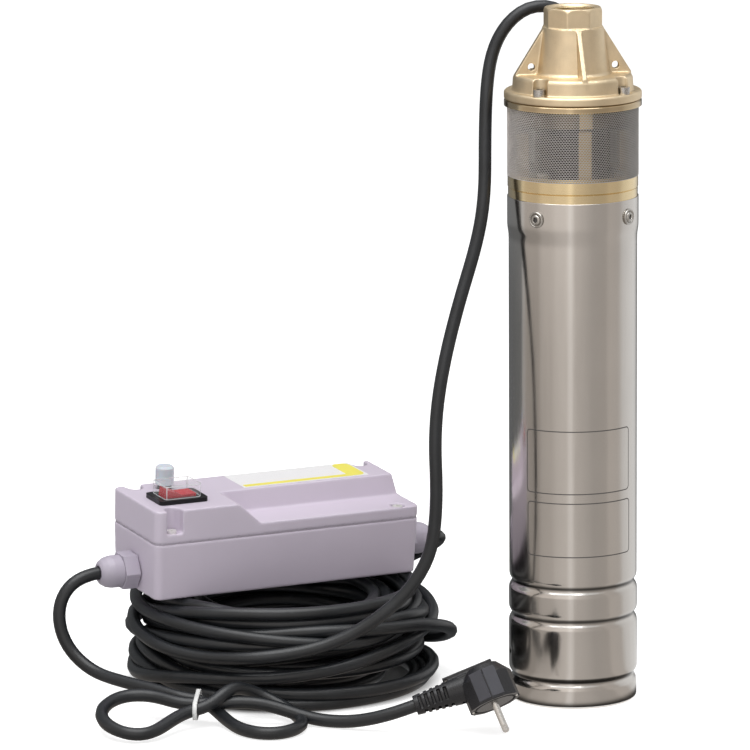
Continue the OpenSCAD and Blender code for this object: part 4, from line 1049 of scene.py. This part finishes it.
# %% [markdown]
# ## The painted reflections on the edges of the switch's clear boot
#
# The boot is a clear soft cap over the rocker. Clear plastic shows mostly at its edges, where the eye looks
# along the wall and catches reflected light, so thin pale strips paint that reflection along the cap's top rim,
# its foot and its four corners.


# %% Line the boot's edges
boot_low, boot_high = 67.3, 76.8
boot_box = (-88.05, -20.05, -59.95, 3.05)
boot_round = 3.0
boot_out = rounded_plate(*boot_box, boot_round)
x0, y0, x1, y1 = boot_box
for name, wall, low, high in (("boot_top", 0.8, boot_high - 0.5, boot_high + 0.05),
                              ("boot_foot", 0.6, boot_low, boot_low + 0.6)):
    inside = rounded_plate(x0 + wall, y0 + wall, x1 - wall, y1 - wall, boot_round - wall)
    band(name, boot_out, inside, low, high, on_box, boot_edge_reflection)
corner_points, corner_faces = [], []
for c in range(4):
    arc = boot_out[7 * c + 3:7 * c + 5]
    base = len(corner_points)
    for x, y in arc:
        corner_points += [on_box(x, y, boot_low), on_box(x, y, boot_high)]
    corner_faces.append((base, base + 2, base + 3, base + 1))
thicken(piece("boot_corners", corner_points, corner_faces, boot_edge_reflection), 0.2)
print("boot edges laid")

# %% [markdown]
# ## The printed frames on the casing
#
# Two thin empty frames are printed on the casing's front. A print is a film of ink and could be painted into
# the steel's finish. Here it is a narrow line bent round the casing, two hundredths of a millimetre proud,
# so that its edge stays sharp.


# %% Print two empty frames
def printed_frame(name, from_deg, to_deg, low, high, corner, width):
    outline = []
    radius = 44.42
    left, right = math.radians(from_deg) * radius, math.radians(to_deg) * radius
    for inset in (0, width):
        loop = rounded_plate(left + inset, low + inset, right - inset, high - inset, corner - inset)
        full = []
        for (x0, z0), (x1, z1) in zip(loop, loop[1:] + loop[:1]):
            parts = max(1, int(abs(x1 - x0) / 2))
            full += [(x0 + (x1 - x0) * k / parts, z0 + (z1 - z0) * k / parts) for k in range(parts)]
        outline.append(full)
    n = min(len(o) for o in outline)
    outline = [[o[int(k * len(o) / n)] for k in range(n)] for o in outline]
    points = [(radius * math.cos(x / radius) * MM, radius * math.sin(x / radius) * MM, z * MM)
              for o in outline for x, z in o]
    faces = [(k, (k + 1) % n, n + (k + 1) % n, n + k) for k in range(n)]
    return thicken(piece(name, points, faces, print_and_shade_grey, smooth=False), 0.03)


printed_frame("upper_frame", -147.4, -41.8, 151.8, 196.4, 3.2, 0.75)
printed_frame("lower_frame", -146.6, -40.8, 107.4, 145.8, 3.2, 0.75)
print("two empty frames printed")
